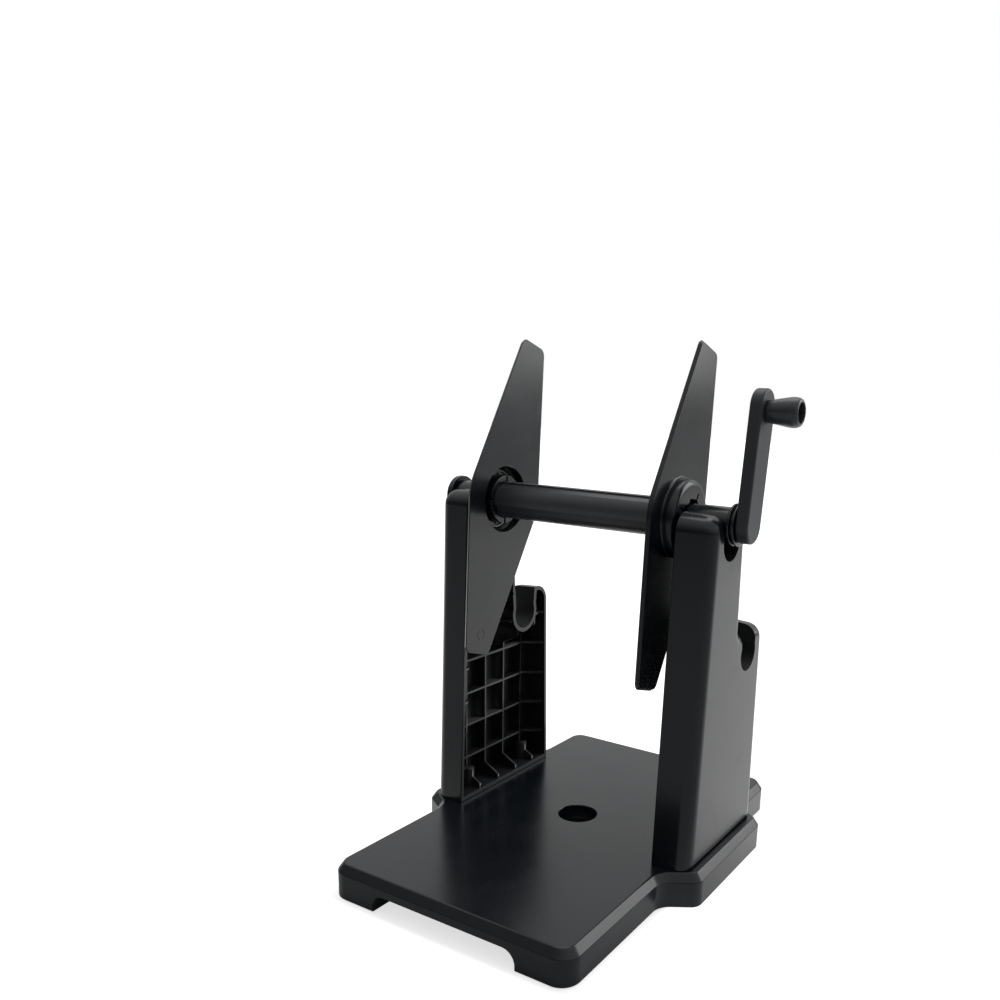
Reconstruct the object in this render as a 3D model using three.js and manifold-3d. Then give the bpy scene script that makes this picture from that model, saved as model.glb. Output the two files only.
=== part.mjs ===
// Hand cranked label rewinder: a moulded base, two ribbed uprights, and a spindle with two
// sliding bow-tie flanges that lies in open notches and is turned by a crank.
// Millimetres, +Z up, X along the spindle with the crank on +X, the front at -Y.

import * as THREE from 'three';
import { mergeVertices } from 'three/addons/utils/BufferGeometryUtils.js';
import Module from 'manifold-3d';

const wasm = await Module();
wasm.setup();

// Clearances
const touching_gap = 0.3;
const shaft_clearance = 0.3;
const screw_clearance = 0.3;

// Base tray
const base_width = 160;
const base_depth = 255;
const base_wall_bottom = 0.4;
const base_wall_top = 15.8;
const base_top = 20.6;
const base_chamfer = 3.5;
const base_corner_radius = 11;
const base_skin = 2.6;
const base_rib_thickness = 2;
const base_rib_bottom = 12.5;
const base_rib_pitch_y = 62;
const arch_width = 96;
const arch_height = 11.4;
const arch_radius = 8;
const arch_cheek_wall = 2.6;
const arch_cheek_depth = 26;
const middle_hole_radius = 12;
const middle_hole_chamfer = 0.8;
const middle_hole_sleeve_wall = 2;

// Ears of the base that carry the uprights
const ear_reach = 19;
const ear_straight = 81;
const ear_middle_y = 22.5;
const ear_shoulder_angle = THREE.MathUtils.degToRad(58);
const ear_root_radius = 12;
const ear_tip_radius = 8;

// Rubber feet under the corners
const foot_radius = 8;
const foot_recess = 2.4;
const foot_edge = 0.8;
const foot_post_wall = 1.6;
const foot_inset = 16;

// Uprights
const panel_inner_x = 69.5;
const panel_thickness = 22.4;
const panel_height = 198;
const panel_side_draft = 1.5;
const panel_foot_front_y = -25;
const panel_foot_depth = 94;
const panel_draft = Math.tan(THREE.MathUtils.degToRad(2));
const panel_step_height = 128;
const panel_upper_rear_y = 28.5;
const panel_corner_radius = 9;
const panel_step_radius = 3;
const panel_edge_radius = 8;
const panel_wall = 2.6;

// Rib grid inside the uprights, with a gusset where a rib meets a wall
const panel_rib_thickness = 1.6;
const panel_rib_setback = 12;
const panel_rib_first_y = -5.9;
const panel_rib_pitch_y = 19.7;
const panel_rib_rows_y = 4;
const panel_rib_first_height = 21.6;
const panel_rib_pitch_z = 22.1;
const panel_rib_rows_z = 7;
const gusset_tab = 3.2;
const gusset_run = 6.3;
const gusset_setback = 0.6;

// Open notches of the uprights: round seat, pinched throat, flared mouth
const notch_seat_radius = 10.7;
const notch_seat_overrun = THREE.MathUtils.degToRad(18);
const notch_throat_half_width = 9.9;
const notch_throat_rise = 4.2;
const notch_mouth_half_width = 11;
const notch_depth = 24.8;
const notch_wall = 2.6;
const rear_notch_y = 40.8;
const saddle_thickness = 4;

// Panel screws, two from below into each upright
const screw_shank_radius = 1.5;
const screw_head_radius = 3;
const screw_head_height = 2;
const screw_reach = 12;
const screw_boss_radius = 4.4;
const screw_post_radius = 5.4;
const screw_post_bottom = 9;

// Spindle
const spindle_y = 4.5;
const spindle_z = 214.2;
const tube_radius = 11;
const tube_end_gap = 6;
const channel_count = 4;
const channel_width = 5.2;
const channel_depth = 1.1;
const axle_radius = 6;
const axle_flat_depth = 1.5;
const bush_radius = 9.2;
const disc_radius = 11.4;
const end_cap_radius = 11.9;
const end_cap_thickness = 4.1;
const end_cap_edge_radius = 1.4;
const end_cap_socket_depth = 1.8;
const cap_screw_head_radius = 4;
const cap_screw_head_height = 1.8;
const cap_screw_shank_radius = 1.5;
const cap_screw_reach = 12;
const collar_disc_thickness = 1.5;
const collar_groove_width = 1.2;
const collar_edge = 0.4;

// Flanges
const flange_length = 193.4;
const flange_tip_half_width = 11.2;
const flange_waist_radius = 34.5;
const flange_tip_radius = 5;
const flange_thickness = 2.2;
const flange_draft = 1;
const flange_edge = 0.4;
const flange_lean = THREE.MathUtils.degToRad(16.7);
const left_flange_inset = 4.5;
const right_flange_inset = 6.2;
const hub_radius = 22.3;
const hub_height = 7.4;
const hub_shoulder_radius = 4;
const hub_recess_radius = 20;
const hub_recess_fillet = 2.7;
const hub_floor = 2.2;
const collet_wall = 3.2;
const collet_slot_width = 1.6;
const collet_slot_reach = 15.7;
const collet_slot_angle = THREE.MathUtils.degToRad(-12.5);
const key_side_clearance = 0.35;
const key_top_clearance = 0.3;

// Crank
const crank_thickness = 7.2;
const crank_width = 19.2;
const crank_reach = 61.6;
const crank_edge = 1;
const crank_lean = THREE.MathUtils.degToRad(6.7);
const crank_socket_depth = 5;

// Knob and the screw that it turns on
const knob_reach = 59.6;
const knob_length = 17.7;
const knob_root_radius = 5.9;
const knob_swell_radius = 7.8;
const knob_end_radius = 6;
const knob_recess_radius = 5.3;
const knob_recess_depth = 8;
const knob_screw_radius = 2.3;
const knob_screw_head_radius = 4.4;
const knob_screw_head_height = 2.6;
const knob_screw_tip_radius = 1.8;
const knob_screw_tip_length = 4.6;

// Facets
const corner_steps = 5;
const round_steps = 32;
const small_round_steps = 20;
const screw_steps = 16;

// Places worked out from the sizes above
const base_ceiling = base_top - base_skin;
const arch_cheek_x = (arch_width + arch_cheek_wall) / 2;
const ear_outer_x = base_width / 2 + ear_reach;
const panel_outer_x = panel_inner_x + panel_thickness;
const panel_middle_x = panel_inner_x + panel_thickness / 2;
const panel_bottom = base_top + touching_gap;
const panel_top = panel_bottom + panel_height;
const panel_step_z = panel_bottom + panel_step_height;
const panel_foot_rear_y = panel_foot_front_y + panel_foot_depth;
const axle_bore_radius = axle_radius + shaft_clearance;
const hub_face = flange_thickness + hub_height;
const tube_half_length = panel_inner_x - tube_end_gap;
const left_flange_x = left_flange_inset - tube_half_length;
const right_flange_x = tube_half_length - right_flange_inset;
const collet_bore_radius = tube_radius + shaft_clearance;
const bush_inner_x = tube_half_length + touching_gap;
const bush_outer_x = panel_outer_x;
const disc_inner_x = bush_outer_x + touching_gap;
const end_cap_outer_x = disc_inner_x + end_cap_thickness;
const collar_outer_x = disc_inner_x + 2 * collar_disc_thickness + collar_groove_width;
const crank_inner_x = collar_outer_x + touching_gap;
const crank_outer_x = crank_inner_x + crank_thickness;
const axle_start_x = -(disc_inner_x + end_cap_socket_depth - touching_gap);
const axle_end_x = crank_inner_x + crank_socket_depth - touching_gap;
const knob_inner_x = crank_outer_x + touching_gap;
const knob_outer_x = knob_inner_x + knob_length;
const knob_recess_floor_x = knob_outer_x - knob_recess_depth;

// Materials
const plastic_black = new THREE.MeshStandardMaterial({ color: 0x17181a, roughness: 0.45, metalness: 0 });
const plastic_smooth = new THREE.MeshStandardMaterial({ color: 0x121315, roughness: 0.3, metalness: 0 });
const rubber_black = new THREE.MeshStandardMaterial({ color: 0x1c1c1c, roughness: 0.9, metalness: 0 });
const steel_plain = new THREE.MeshStandardMaterial({ color: 0x9a9ca0, roughness: 0.35, metalness: 1 });
const steel_blackened = new THREE.MeshStandardMaterial({ color: 0x2a2b2e, roughness: 0.4, metalness: 1 });

// Shape helpers

/** A closed geometry with shared vertices, no empty triangles, and its faces pointing out. */
function closed(geometry) {
  const bare = new THREE.BufferGeometry();
  bare.setAttribute('position', geometry.getAttribute('position'));
  if (geometry.index) bare.setIndex(geometry.index);
  const merged = mergeVertices(bare, 1e-4);
  const index = merged.index.array;
  const position = merged.getAttribute('position');
  const kept = [];
  let volume = 0;
  const [a, b, c] = [new THREE.Vector3(), new THREE.Vector3(), new THREE.Vector3()];
  for (let i = 0; i < index.length; i += 3) {
    const [p, q, r] = [index[i], index[i + 1], index[i + 2]];
    if (p !== q && q !== r && r !== p) {
      kept.push(p, q, r);
      a.fromBufferAttribute(position, p);
      b.fromBufferAttribute(position, q);
      c.fromBufferAttribute(position, r);
      volume += a.dot(b.cross(c));
    }
  }
  merged.setIndex(volume < 0 ? kept.reverse() : kept);
  return merged;
}

/** A solid that can be joined and cut. */
function solid(geometry) {
  const mesh = closed(geometry);
  return new wasm.Manifold(new wasm.Mesh({
    numProp: 3,
    vertProperties: new Float32Array(mesh.getAttribute('position').array),
    triVerts: new Uint32Array(mesh.index.array),
  }));
}

/** The geometry of a joined or cut solid. */
function geometryOf(body) {
  const mesh = body.getMesh();
  const geometry = new THREE.BufferGeometry();
  geometry.setAttribute('position', new THREE.BufferAttribute(new Float32Array(mesh.vertProperties), 3));
  geometry.setIndex(new THREE.BufferAttribute(new Uint32Array(mesh.triVerts), 1));
  return geometry;
}

/** The join of several geometries. */
function joined(geometries) {
  return geometries.map(solid).reduce((sum, part) => sum.add(part));
}

/** A body less several geometries. */
function without(body, geometries) {
  return geometries.map(solid).reduce((rest, part) => rest.subtract(part), body);
}

/** The mirror image of a geometry in the plane X = 0. */
function mirrored(geometry) {
  const copy = geometry.clone();
  copy.scale(-1, 1, 1);
  copy.setIndex(Array.from(copy.index.array).reverse());
  return copy;
}

/** A counter-clockwise outline with rounded corners [u, v, radius], moved inwards by inset. */
function roundedOutline(corners, inset = 0) {
  const least_radius = 0.4;
  const count = corners.length;
  const edges = corners.map(([u, v], i) => {
    const [next_u, next_v] = corners[(i + 1) % count];
    const direction = new THREE.Vector2(next_u - u, next_v - v).normalize();
    return { direction, point: new THREE.Vector2(u - direction.y * inset, v + direction.x * inset) };
  });
  const outline = [];
  edges.forEach((after, i) => {
    const before = edges[(i + count - 1) % count];
    const cross = before.direction.cross(after.direction);
    const turn = Math.atan2(cross, before.direction.dot(after.direction));
    const along = after.point.clone().sub(before.point).cross(after.direction) / cross;
    const corner = before.point.clone().addScaledVector(before.direction, along);
    const radius = Math.max(corners[i][2] - Math.sign(turn) * inset, least_radius);
    const start = corner.addScaledVector(before.direction, -radius * Math.tan(Math.abs(turn) / 2));
    const inward = new THREE.Vector2(-before.direction.y, before.direction.x);
    const centre = start.clone().addScaledVector(inward, Math.sign(turn) * radius);
    for (let k = 0; k <= corner_steps; k += 1) {
      const arm = start.clone().sub(centre).rotateAround(new THREE.Vector2(), (turn * k) / corner_steps);
      outline.push(arm.add(centre));
    }
  });
  return outline;
}

/** A closed skin over counter-clockwise outlines of equal count; place turns (u, v, level) into a point. */
function loft(sections, place) {
  const count = sections[0].outline.length;
  const points = sections.flatMap(({ level, outline }) => outline.map((p) => place(p.x, p.y, level)));
  const faces = [];
  for (let s = 0; s + 1 < sections.length; s += 1) {
    for (let i = 0; i < count; i += 1) {
      const [low_a, low_b] = [s * count + i, s * count + ((i + 1) % count)];
      const [high_a, high_b] = [low_a + count, low_b + count];
      faces.push(low_a, low_b, high_b, low_a, high_b, high_a);
    }
  }
  const last = (sections.length - 1) * count;
  THREE.ShapeUtils.triangulateShape(sections[0].outline, [])
    .forEach(([a, b, c]) => faces.push(a, c, b));
  THREE.ShapeUtils.triangulateShape(sections.at(-1).outline, [])
    .forEach(([a, b, c]) => faces.push(last + a, last + b, last + c));
  const geometry = new THREE.BufferGeometry().setFromPoints(points);
  geometry.setIndex(faces);
  return geometry;
}

const alongX = (u, v, level) => new THREE.Vector3(level, u, v);
const alongY = (u, v, level) => new THREE.Vector3(v, level, u);
const alongZ = (u, v, level) => new THREE.Vector3(u, v, level);

/** A straight prism of one outline between two levels. */
function prism(outline, from, to, place) {
  const ring = THREE.ShapeUtils.isClockWise(outline) ? [...outline].reverse() : outline;
  return loft([{ level: from, outline: ring }, { level: to, outline: ring }], place);
}

/** A prism with bevelled rims, its far end drawn in by draft; outlineAt gives the outline at an inset. */
function bevelledPrism(outlineAt, from, to, bevel, draft, place) {
  return loft([
    { level: from, outline: outlineAt(bevel) },
    { level: from + bevel, outline: outlineAt(0) },
    { level: to - bevel, outline: outlineAt(draft) },
    { level: to, outline: outlineAt(draft + bevel) },
  ], place);
}

/** A block between two corners. */
function block(low, high) {
  const size = high.map((value, i) => value - low[i]);
  const geometry = new THREE.BoxGeometry(...size);
  geometry.translate(...low.map((value, i) => value + size[i] / 2));
  return geometry;
}

/** A body turned about the X axis from a profile of [x, radius] points. */
function turnedX(profile, steps = round_steps) {
  const points = profile.map(([x, radius]) => new THREE.Vector2(radius, x));
  const geometry = new THREE.LatheGeometry(points, steps);
  geometry.rotateZ(-Math.PI / 2);
  return geometry;
}

/** A solid rod about the X axis. */
function rodX(radius, from, to, steps = round_steps) {
  return turnedX([[from, 0], [from, radius], [to, radius], [to, 0]], steps);
}

/** A body turned about a vertical axis from a profile of [radius, z] points. */
function turnedZ(profile, x, y, steps = small_round_steps) {
  const points = profile.map(([radius, z]) => new THREE.Vector2(radius, z));
  const geometry = new THREE.LatheGeometry(points, steps);
  geometry.rotateX(Math.PI / 2);
  geometry.translate(x, y, 0);
  return geometry;
}

/** A solid post about a vertical axis. */
function post(radius, from, to, x, y, steps = small_round_steps) {
  return turnedZ([[0, from], [radius, from], [radius, to], [0, to]], x, y, steps);
}

/** Bars that stand out round the X axis like spokes, the first at an angle from +Z. */
function spokes(first_angle, width, inner, outer, from, to) {
  return Array.from({ length: channel_count }, (unused, k) => {
    const bar = block([from, -width / 2, inner], [to, width / 2, outer]);
    bar.rotateX(first_angle + (2 * Math.PI * k) / channel_count);
    return bar;
  });
}

const object = new THREE.Group();
object.position.x = (ear_outer_x - knob_outer_x) / 2;

/** Adds one named piece to the object or to a group in it. */
function piece(name, geometry, material, parent = object) {
  const mesh = new THREE.Mesh(geometry, material);
  mesh.name = name;
  parent.add(mesh);
  return mesh;
}

/** A group on the spindle's axis that leans its pieces back from upright. */
function onSpindle(lean) {
  const group = new THREE.Group();
  group.position.set(0, spindle_y, spindle_z);
  group.rotation.x = -lean;
  object.add(group);
  return group;
}

// Places shared by the base, the feet, the uprights and their screws
const rib_rows = Array.from({ length: panel_rib_rows_y }, (unused, i) => i);
const rib_rows_y = rib_rows.map((i) => panel_rib_first_y + i * panel_rib_pitch_y);
const screw_rows_y = [rib_rows_y.at(0), rib_rows_y.at(-1)];
const screw_places = [-1, 1].flatMap((side) => screw_rows_y.map((y) => [side * panel_middle_x, y]));
const foot_places = [-1, 1].flatMap((side) => [-1, 1].map((end) => [
  side * (base_width / 2 - foot_inset),
  end * (base_depth / 2 - foot_inset),
]));

/** Front or rear, and left or right, for a piece's name. */
function cornerName(x, y, middle_y) {
  return `${y < middle_y ? 'front' : 'rear'}_${x < 0 ? 'left' : 'right'}`;
}

// Base: an inverted tray with an ear on each side

function baseOutline(inset) {
  const [x, y] = [base_width / 2, base_depth / 2];
  const diagonal = ear_reach / Math.tan(ear_shoulder_angle);
  const tip_reach = ear_straight / 2 + ear_tip_radius * Math.tan(ear_shoulder_angle / 2);
  const [front_tip, rear_tip] = [ear_middle_y - tip_reach, ear_middle_y + tip_reach];
  const right_side = [
    [x, -y, base_corner_radius],
    [x, front_tip - diagonal, ear_root_radius],
    [ear_outer_x, front_tip, ear_tip_radius],
    [ear_outer_x, rear_tip, ear_tip_radius],
    [x, rear_tip + diagonal, ear_root_radius],
    [x, y, base_corner_radius],
  ];
  const left_side = right_side.map(([side_x, side_y, radius]) => [-side_x, side_y, radius]).reverse();
  return roundedOutline([...right_side, ...left_side], inset);
}

/** Ribs under the deck, from wall to wall. */
function baseRibs() {
  const half = base_rib_thickness / 2;
  const lengthwise = [-1, 0, 1].map((place) => block(
    [place * arch_cheek_x - half, -base_depth / 2, base_rib_bottom],
    [place * arch_cheek_x + half, base_depth / 2, base_ceiling],
  ));
  const crosswise = [-1.5, -0.5, 0.5, 1.5].map((place) => block(
    [-ear_outer_x, place * base_rib_pitch_y - half, base_rib_bottom],
    [ear_outer_x, place * base_rib_pitch_y + half, base_ceiling],
  ));
  return [...lengthwise, ...crosswise];
}

/** Walls that lead inwards from both ends of each arch. */
function archCheeks() {
  const half = arch_cheek_wall / 2;
  return [-1, 1].flatMap((side) => [-1, 1].map((end) => block(
    [side * arch_cheek_x - half, end * base_depth / 2 - arch_cheek_depth, base_wall_bottom],
    [side * arch_cheek_x + half, end * base_depth / 2 + arch_cheek_depth, base_ceiling],
  )));
}

/** Posts under the deck for the screws, the feet and the middle hole. */
function basePosts() {
  const sleeve_radius = middle_hole_radius + middle_hole_sleeve_wall;
  const foot_post_radius = foot_radius + touching_gap + foot_post_wall;
  return [
    post(sleeve_radius, arch_height, base_ceiling, 0, spindle_y, round_steps),
    ...screw_places.map(([x, y]) => post(screw_post_radius, screw_post_bottom, base_ceiling, x, y)),
    ...foot_places.map(([x, y]) => post(foot_post_radius, base_wall_bottom, base_ceiling, x, y)),
  ];
}

/** The low arches in the front and rear walls. */
function archCut() {
  const below = base_wall_bottom - arch_height;
  const outline = roundedOutline([
    [below, -arch_width / 2, 1],
    [arch_height, -arch_width / 2, arch_radius],
    [arch_height, arch_width / 2, arch_radius],
    [below, arch_width / 2, 1],
  ]);
  return prism(outline, -base_depth, base_depth, alongY);
}

/** The hole in the middle of the deck, chamfered at the top. */
function middleHoleCut() {
  return turnedZ([
    [0, base_wall_bottom],
    [middle_hole_radius, base_wall_bottom],
    [middle_hole_radius, base_top - middle_hole_chamfer],
    [middle_hole_radius + 2 * middle_hole_chamfer, base_top + middle_hole_chamfer],
    [0, base_top + middle_hole_chamfer],
  ], 0, spindle_y, round_steps);
}

/** A stepped hole from below for one panel screw. */
function screwCut([x, y]) {
  const head_seat = base_ceiling - screw_head_height;
  return turnedZ([
    [0, base_wall_bottom],
    [screw_head_radius + screw_clearance, base_wall_bottom],
    [screw_head_radius + screw_clearance, head_seat],
    [screw_shank_radius + screw_clearance, head_seat],
    [screw_shank_radius + screw_clearance, base_top + 1],
    [0, base_top + 1],
  ], x, y);
}

function baseGeometry() {
  const outer = loft([
    { level: base_wall_bottom, outline: baseOutline(0) },
    { level: base_wall_top, outline: baseOutline(0) },
    { level: base_top, outline: baseOutline(base_chamfer) },
  ], alongZ);
  const hollow = loft([
    { level: base_wall_bottom - 1, outline: baseOutline(base_skin) },
    { level: base_wall_top - base_skin / 2, outline: baseOutline(base_skin) },
    { level: base_ceiling, outline: baseOutline(base_skin + base_chamfer / 2) },
  ], alongZ);
  const room = solid(hollow).subtract(joined([...baseRibs(), ...archCheeks(), ...basePosts()]));
  return geometryOf(without(solid(outer).subtract(room), [
    archCut(),
    middleHoleCut(),
    ...screw_places.map(screwCut),
    ...foot_places.map(([x, y]) => post(foot_radius + touching_gap, 0, base_wall_bottom + foot_recess, x, y)),
  ]));
}

piece('base_plate', baseGeometry(), plastic_black);

// Rubber feet

function footGeometry([x, y]) {
  const top = base_wall_bottom + foot_recess - touching_gap;
  const rim = [[foot_radius - foot_edge, 0], [foot_radius, foot_edge], [foot_radius, top]];
  return closed(turnedZ([[0, 0], ...rim, [0, top]], x, y));
}

foot_places.forEach(([x, y]) => {
  piece(`rubber_foot_${cornerName(x, y, 0)}`, footGeometry([x, y]), rubber_black);
});

// Uprights: drafted shells, open on the inner side, with a rib grid and two notches

const frontAt = (z) => panel_foot_front_y + panel_draft * (z - panel_bottom);
const lowerRearAt = (z) => panel_foot_rear_y - panel_draft * (z - panel_bottom);
const upperRearAt = (z) => panel_upper_rear_y - panel_draft * (z - panel_step_z);
const rearAt = (z) => (z < panel_step_z ? lowerRearAt(z) : upperRearAt(z));

/** The side outline, carried on below the foot so that the foot is cut square. */
function panelOutline(inset) {
  const below = panel_bottom - 3 * panel_edge_radius;
  return roundedOutline([
    [frontAt(below), below, 1],
    [lowerRearAt(below), below, 1],
    [lowerRearAt(panel_step_z), panel_step_z, panel_corner_radius],
    [panel_upper_rear_y, panel_step_z, panel_step_radius],
    [upperRearAt(panel_top), panel_top, panel_corner_radius],
    [frontAt(panel_top), panel_top, panel_corner_radius],
  ], inset);
}

/** A notch's outline, widened all round by grow, up to a given height. */
function notchOutline({ middle_y, bottom_z }, top_z, grow) {
  const steps = 14;
  const seat_z = bottom_z + notch_seat_radius;
  const throat = [notch_throat_half_width + grow, seat_z + notch_throat_rise];
  const mouth = [notch_mouth_half_width + grow, top_z];
  const seat = Array.from({ length: steps + 1 }, (unused, k) => {
    const sweep = Math.PI + 2 * notch_seat_overrun;
    const angle = Math.PI - notch_seat_overrun + (sweep * k) / steps;
    const radius = notch_seat_radius + grow;
    return new THREE.Vector2(middle_y + radius * Math.cos(angle), seat_z + radius * Math.sin(angle));
  });
  return [
    new THREE.Vector2(middle_y - mouth[0], mouth[1]),
    new THREE.Vector2(middle_y - throat[0], throat[1]),
    ...seat,
    new THREE.Vector2(middle_y + throat[0], throat[1]),
    new THREE.Vector2(middle_y + mouth[0], mouth[1]),
  ];
}

const upper_notch = { middle_y: spindle_y, bottom_z: panel_top - notch_depth, top_z: panel_top };
const rear_notch = { middle_y: rear_notch_y, bottom_z: panel_step_z - notch_depth, top_z: panel_step_z };
const notches = [upper_notch, rear_notch];

/** A rib's edge between the faces of two walls: flat, with a gusset up to the rim at each end. */
function ribProfile(from, to) {
  const rim_x = panel_inner_x + gusset_setback;
  const edge_x = panel_inner_x + panel_rib_setback;
  const [first_tab, last_tab] = [from + gusset_tab, to - gusset_tab];
  const reach = panel_wall / 2 + panel_side_draft;
  const [first, last] = [from - reach, to + reach];
  const dip = last_tab - first_tab < 2 * gusset_run ? [] : [
    [first_tab, rim_x],
    [first_tab + gusset_run, edge_x],
    [last_tab - gusset_run, edge_x],
    [last_tab, rim_x],
  ];
  return [[first, panel_outer_x], [first, rim_x], ...dip, [last, rim_x], [last, panel_outer_x]];
}

/** The notch whose wall crosses a line, and half the width of that wall's curve there. */
function notchAcross(offsets) {
  const reach = notch_seat_radius + notch_wall;
  const index = offsets.findIndex((offset) => Math.abs(offset) < reach);
  return { index, half_width: index < 0 ? 0 : Math.sqrt(reach ** 2 - offsets[index] ** 2) };
}

/** Where an upright rib ends: under a notch's wall, or under the top wall. */
function ribTop(y) {
  const { index, half_width } = notchAcross(notches.map(({ middle_y }) => y - middle_y));
  return index < 0 ? panel_top - panel_wall : notches[index].bottom_z + notch_seat_radius - half_width;
}

/** The stretches of a level rib: from wall to wall, less the rear notch. */
function ribStretches(z) {
  const [front, rear] = [frontAt(z) + panel_wall, rearAt(z) - panel_wall];
  const seat_z = rear_notch.bottom_z + notch_seat_radius;
  const { index, half_width } = notchAcross([z > panel_step_z ? Infinity : z - seat_z]);
  const [notch_front, notch_rear] = [rear_notch_y - half_width, rear_notch_y + half_width];
  return index < 0 ? [[front, rear]] : [[front, notch_front], [notch_rear, rear]];
}

/** The rib grid, before it is trimmed to the room inside the walls. */
function panelRibs() {
  const half = panel_rib_thickness / 2;
  const upright = rib_rows_y.map((y) => {
    const outline = ribProfile(panel_bottom + panel_wall, ribTop(y)).map(([z, x]) => new THREE.Vector2(z, x));
    return prism(outline, y - half, y + half, alongY);
  });
  const level = Array.from({ length: panel_rib_rows_z }, (unused, k) => {
    const z = panel_bottom + panel_rib_first_height + k * panel_rib_pitch_z;
    return ribStretches(z).map(([from, to]) => {
      const outline = ribProfile(from, to).map(([y, x]) => new THREE.Vector2(x, y));
      return prism(outline, z - half, z + half, alongZ);
    });
  });
  return [...upright, ...level.flat()];
}

/** The outline at a level, which the side draft widens towards the open side. */
function panelSection(level, inset) {
  const outset = panel_side_draft * ((panel_outer_x - level) / panel_thickness);
  return { level, outline: panelOutline(inset - outset) };
}

/** The plain outside of an upright, rounded along its outer face. */
function panelOutside() {
  const edge_sections = Array.from({ length: corner_steps + 1 }, (unused, k) => {
    const angle = (Math.PI / 2) * (k / corner_steps);
    const level = panel_outer_x - panel_edge_radius * (1 - Math.sin(angle));
    return panelSection(level, panel_edge_radius * (1 - Math.cos(angle)));
  });
  const skin = loft([panelSection(panel_inner_x, 0), ...edge_sections], alongX);
  const above_foot = block([0, -base_depth, panel_bottom], [ear_outer_x, base_depth, 2 * panel_top]);
  return solid(skin).intersect(solid(above_foot));
}

/** The room inside an upright's walls, open on the inner side. */
function panelRoom() {
  const deep_x = panel_outer_x - panel_wall;
  const inner_radius = panel_edge_radius - panel_wall;
  const hollow = loft([
    panelSection(panel_inner_x - 1, panel_wall),
    panelSection(deep_x - inner_radius, panel_wall),
    panelSection(deep_x - inner_radius / 3, panel_wall + inner_radius / 3),
    panelSection(deep_x, panel_wall + inner_radius),
  ], alongX);
  const floor_z = panel_bottom + panel_wall;
  const above_floor = block([0, -base_depth, floor_z], [ear_outer_x, base_depth, 2 * panel_top]);
  return solid(hollow).intersect(solid(above_floor));
}

/** The web across the upper notch whose cradle carries the bush. */
function saddle() {
  const web = prism(
    notchOutline(upper_notch, spindle_z, touching_gap),
    panel_middle_x - saddle_thickness / 2,
    panel_middle_x + saddle_thickness / 2,
    alongX,
  );
  const cradle = rodX(bush_radius + shaft_clearance, panel_inner_x, panel_outer_x);
  cradle.translate(0, spindle_y, spindle_z);
  return solid(web).subtract(solid(cradle));
}

function rightPanelGeometry() {
  const notch_walls = notches.map((notch) => (
    prism(notchOutline(notch, notch.top_z, notch_wall), panel_inner_x, panel_outer_x, alongX)));
  const bosses = screw_rows_y.map((y) => (
    post(screw_boss_radius, panel_bottom, panel_bottom + screw_reach + panel_wall, panel_middle_x, y)));
  const room = panelRoom().subtract(joined([...panelRibs(), ...notch_walls, ...bosses]));
  const hole_radius = screw_shank_radius + screw_clearance;
  const cut = without(panelOutside().subtract(room), [
    ...notches.map((notch) => (
      prism(notchOutline(notch, notch.top_z + 2 * panel_side_draft, 0), 0, ear_outer_x, alongX))),
    ...screw_rows_y.map((y) => (
      post(hole_radius, panel_bottom - 1, panel_bottom + screw_reach, panel_middle_x, y))),
  ]);
  return geometryOf(cut.add(saddle()));
}

const right_panel_geometry = rightPanelGeometry();
piece('right_side_panel', right_panel_geometry, plastic_black);
piece('left_side_panel', mirrored(right_panel_geometry), plastic_black);

// Panel screws, put in from under the base

function panelScrewGeometry([x, y]) {
  const head_top = base_ceiling - screw_head_height - touching_gap;
  const tip = panel_bottom + screw_reach - 1;
  return closed(turnedZ([
    [0, head_top - screw_head_height],
    [screw_head_radius, head_top - screw_head_height],
    [screw_head_radius, head_top],
    [screw_shank_radius, head_top],
    [screw_shank_radius, tip - screw_shank_radius],
    [0, tip],
  ], x, y, screw_steps));
}

screw_places.forEach(([x, y]) => {
  const name = `panel_screw_${cornerName(x, y, ear_middle_y)}`;
  piece(name, panelScrewGeometry([x, y]), steel_plain);
});

// Spindle: a D-section axle through a fluted tube, with bushes, an end cap and a collar

const blades = onSpindle(flange_lean);
const crank_parts = onSpindle(crank_lean);

/** A rod with one flat, widened all round by grow. */
function flattedRod(from, to, grow) {
  const flat_y = axle_radius - axle_flat_depth + grow;
  const side = 2 * axle_radius;
  return solid(rodX(axle_radius + grow, from, to, small_round_steps))
    .subtract(solid(block([from - 1, flat_y, -side], [to + 1, side, side])));
}

function tubeGeometry() {
  const [from, to] = [-tube_half_length, tube_half_length];
  const floor_radius = tube_radius - channel_depth;
  const channels = spokes(Math.PI / 4, channel_width, floor_radius, 2 * tube_radius, from - 1, to + 1);
  const bore = geometryOf(flattedRod(from - 1, to + 1, shaft_clearance));
  bore.rotateX(flange_lean - crank_lean);
  return geometryOf(without(solid(rodX(tube_radius, from, to)), [...channels, bore]));
}

function axleGeometry() {
  const flat_start_x = -tube_half_length - touching_gap;
  const round_end = solid(rodX(axle_radius, axle_start_x, flat_start_x, small_round_steps));
  const body = round_end.add(flattedRod(flat_start_x - 1, axle_end_x, 0));
  const pilot_radius = cap_screw_shank_radius + screw_clearance;
  const pilot = rodX(pilot_radius, axle_start_x - 1, axle_start_x + cap_screw_reach, screw_steps);
  return geometryOf(without(body, [pilot]));
}

function bushGeometry(from, to) {
  return closed(turnedX([
    [from, axle_bore_radius],
    [from, bush_radius],
    [to, bush_radius],
    [to, axle_bore_radius],
    [from, axle_bore_radius],
  ]));
}

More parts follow.
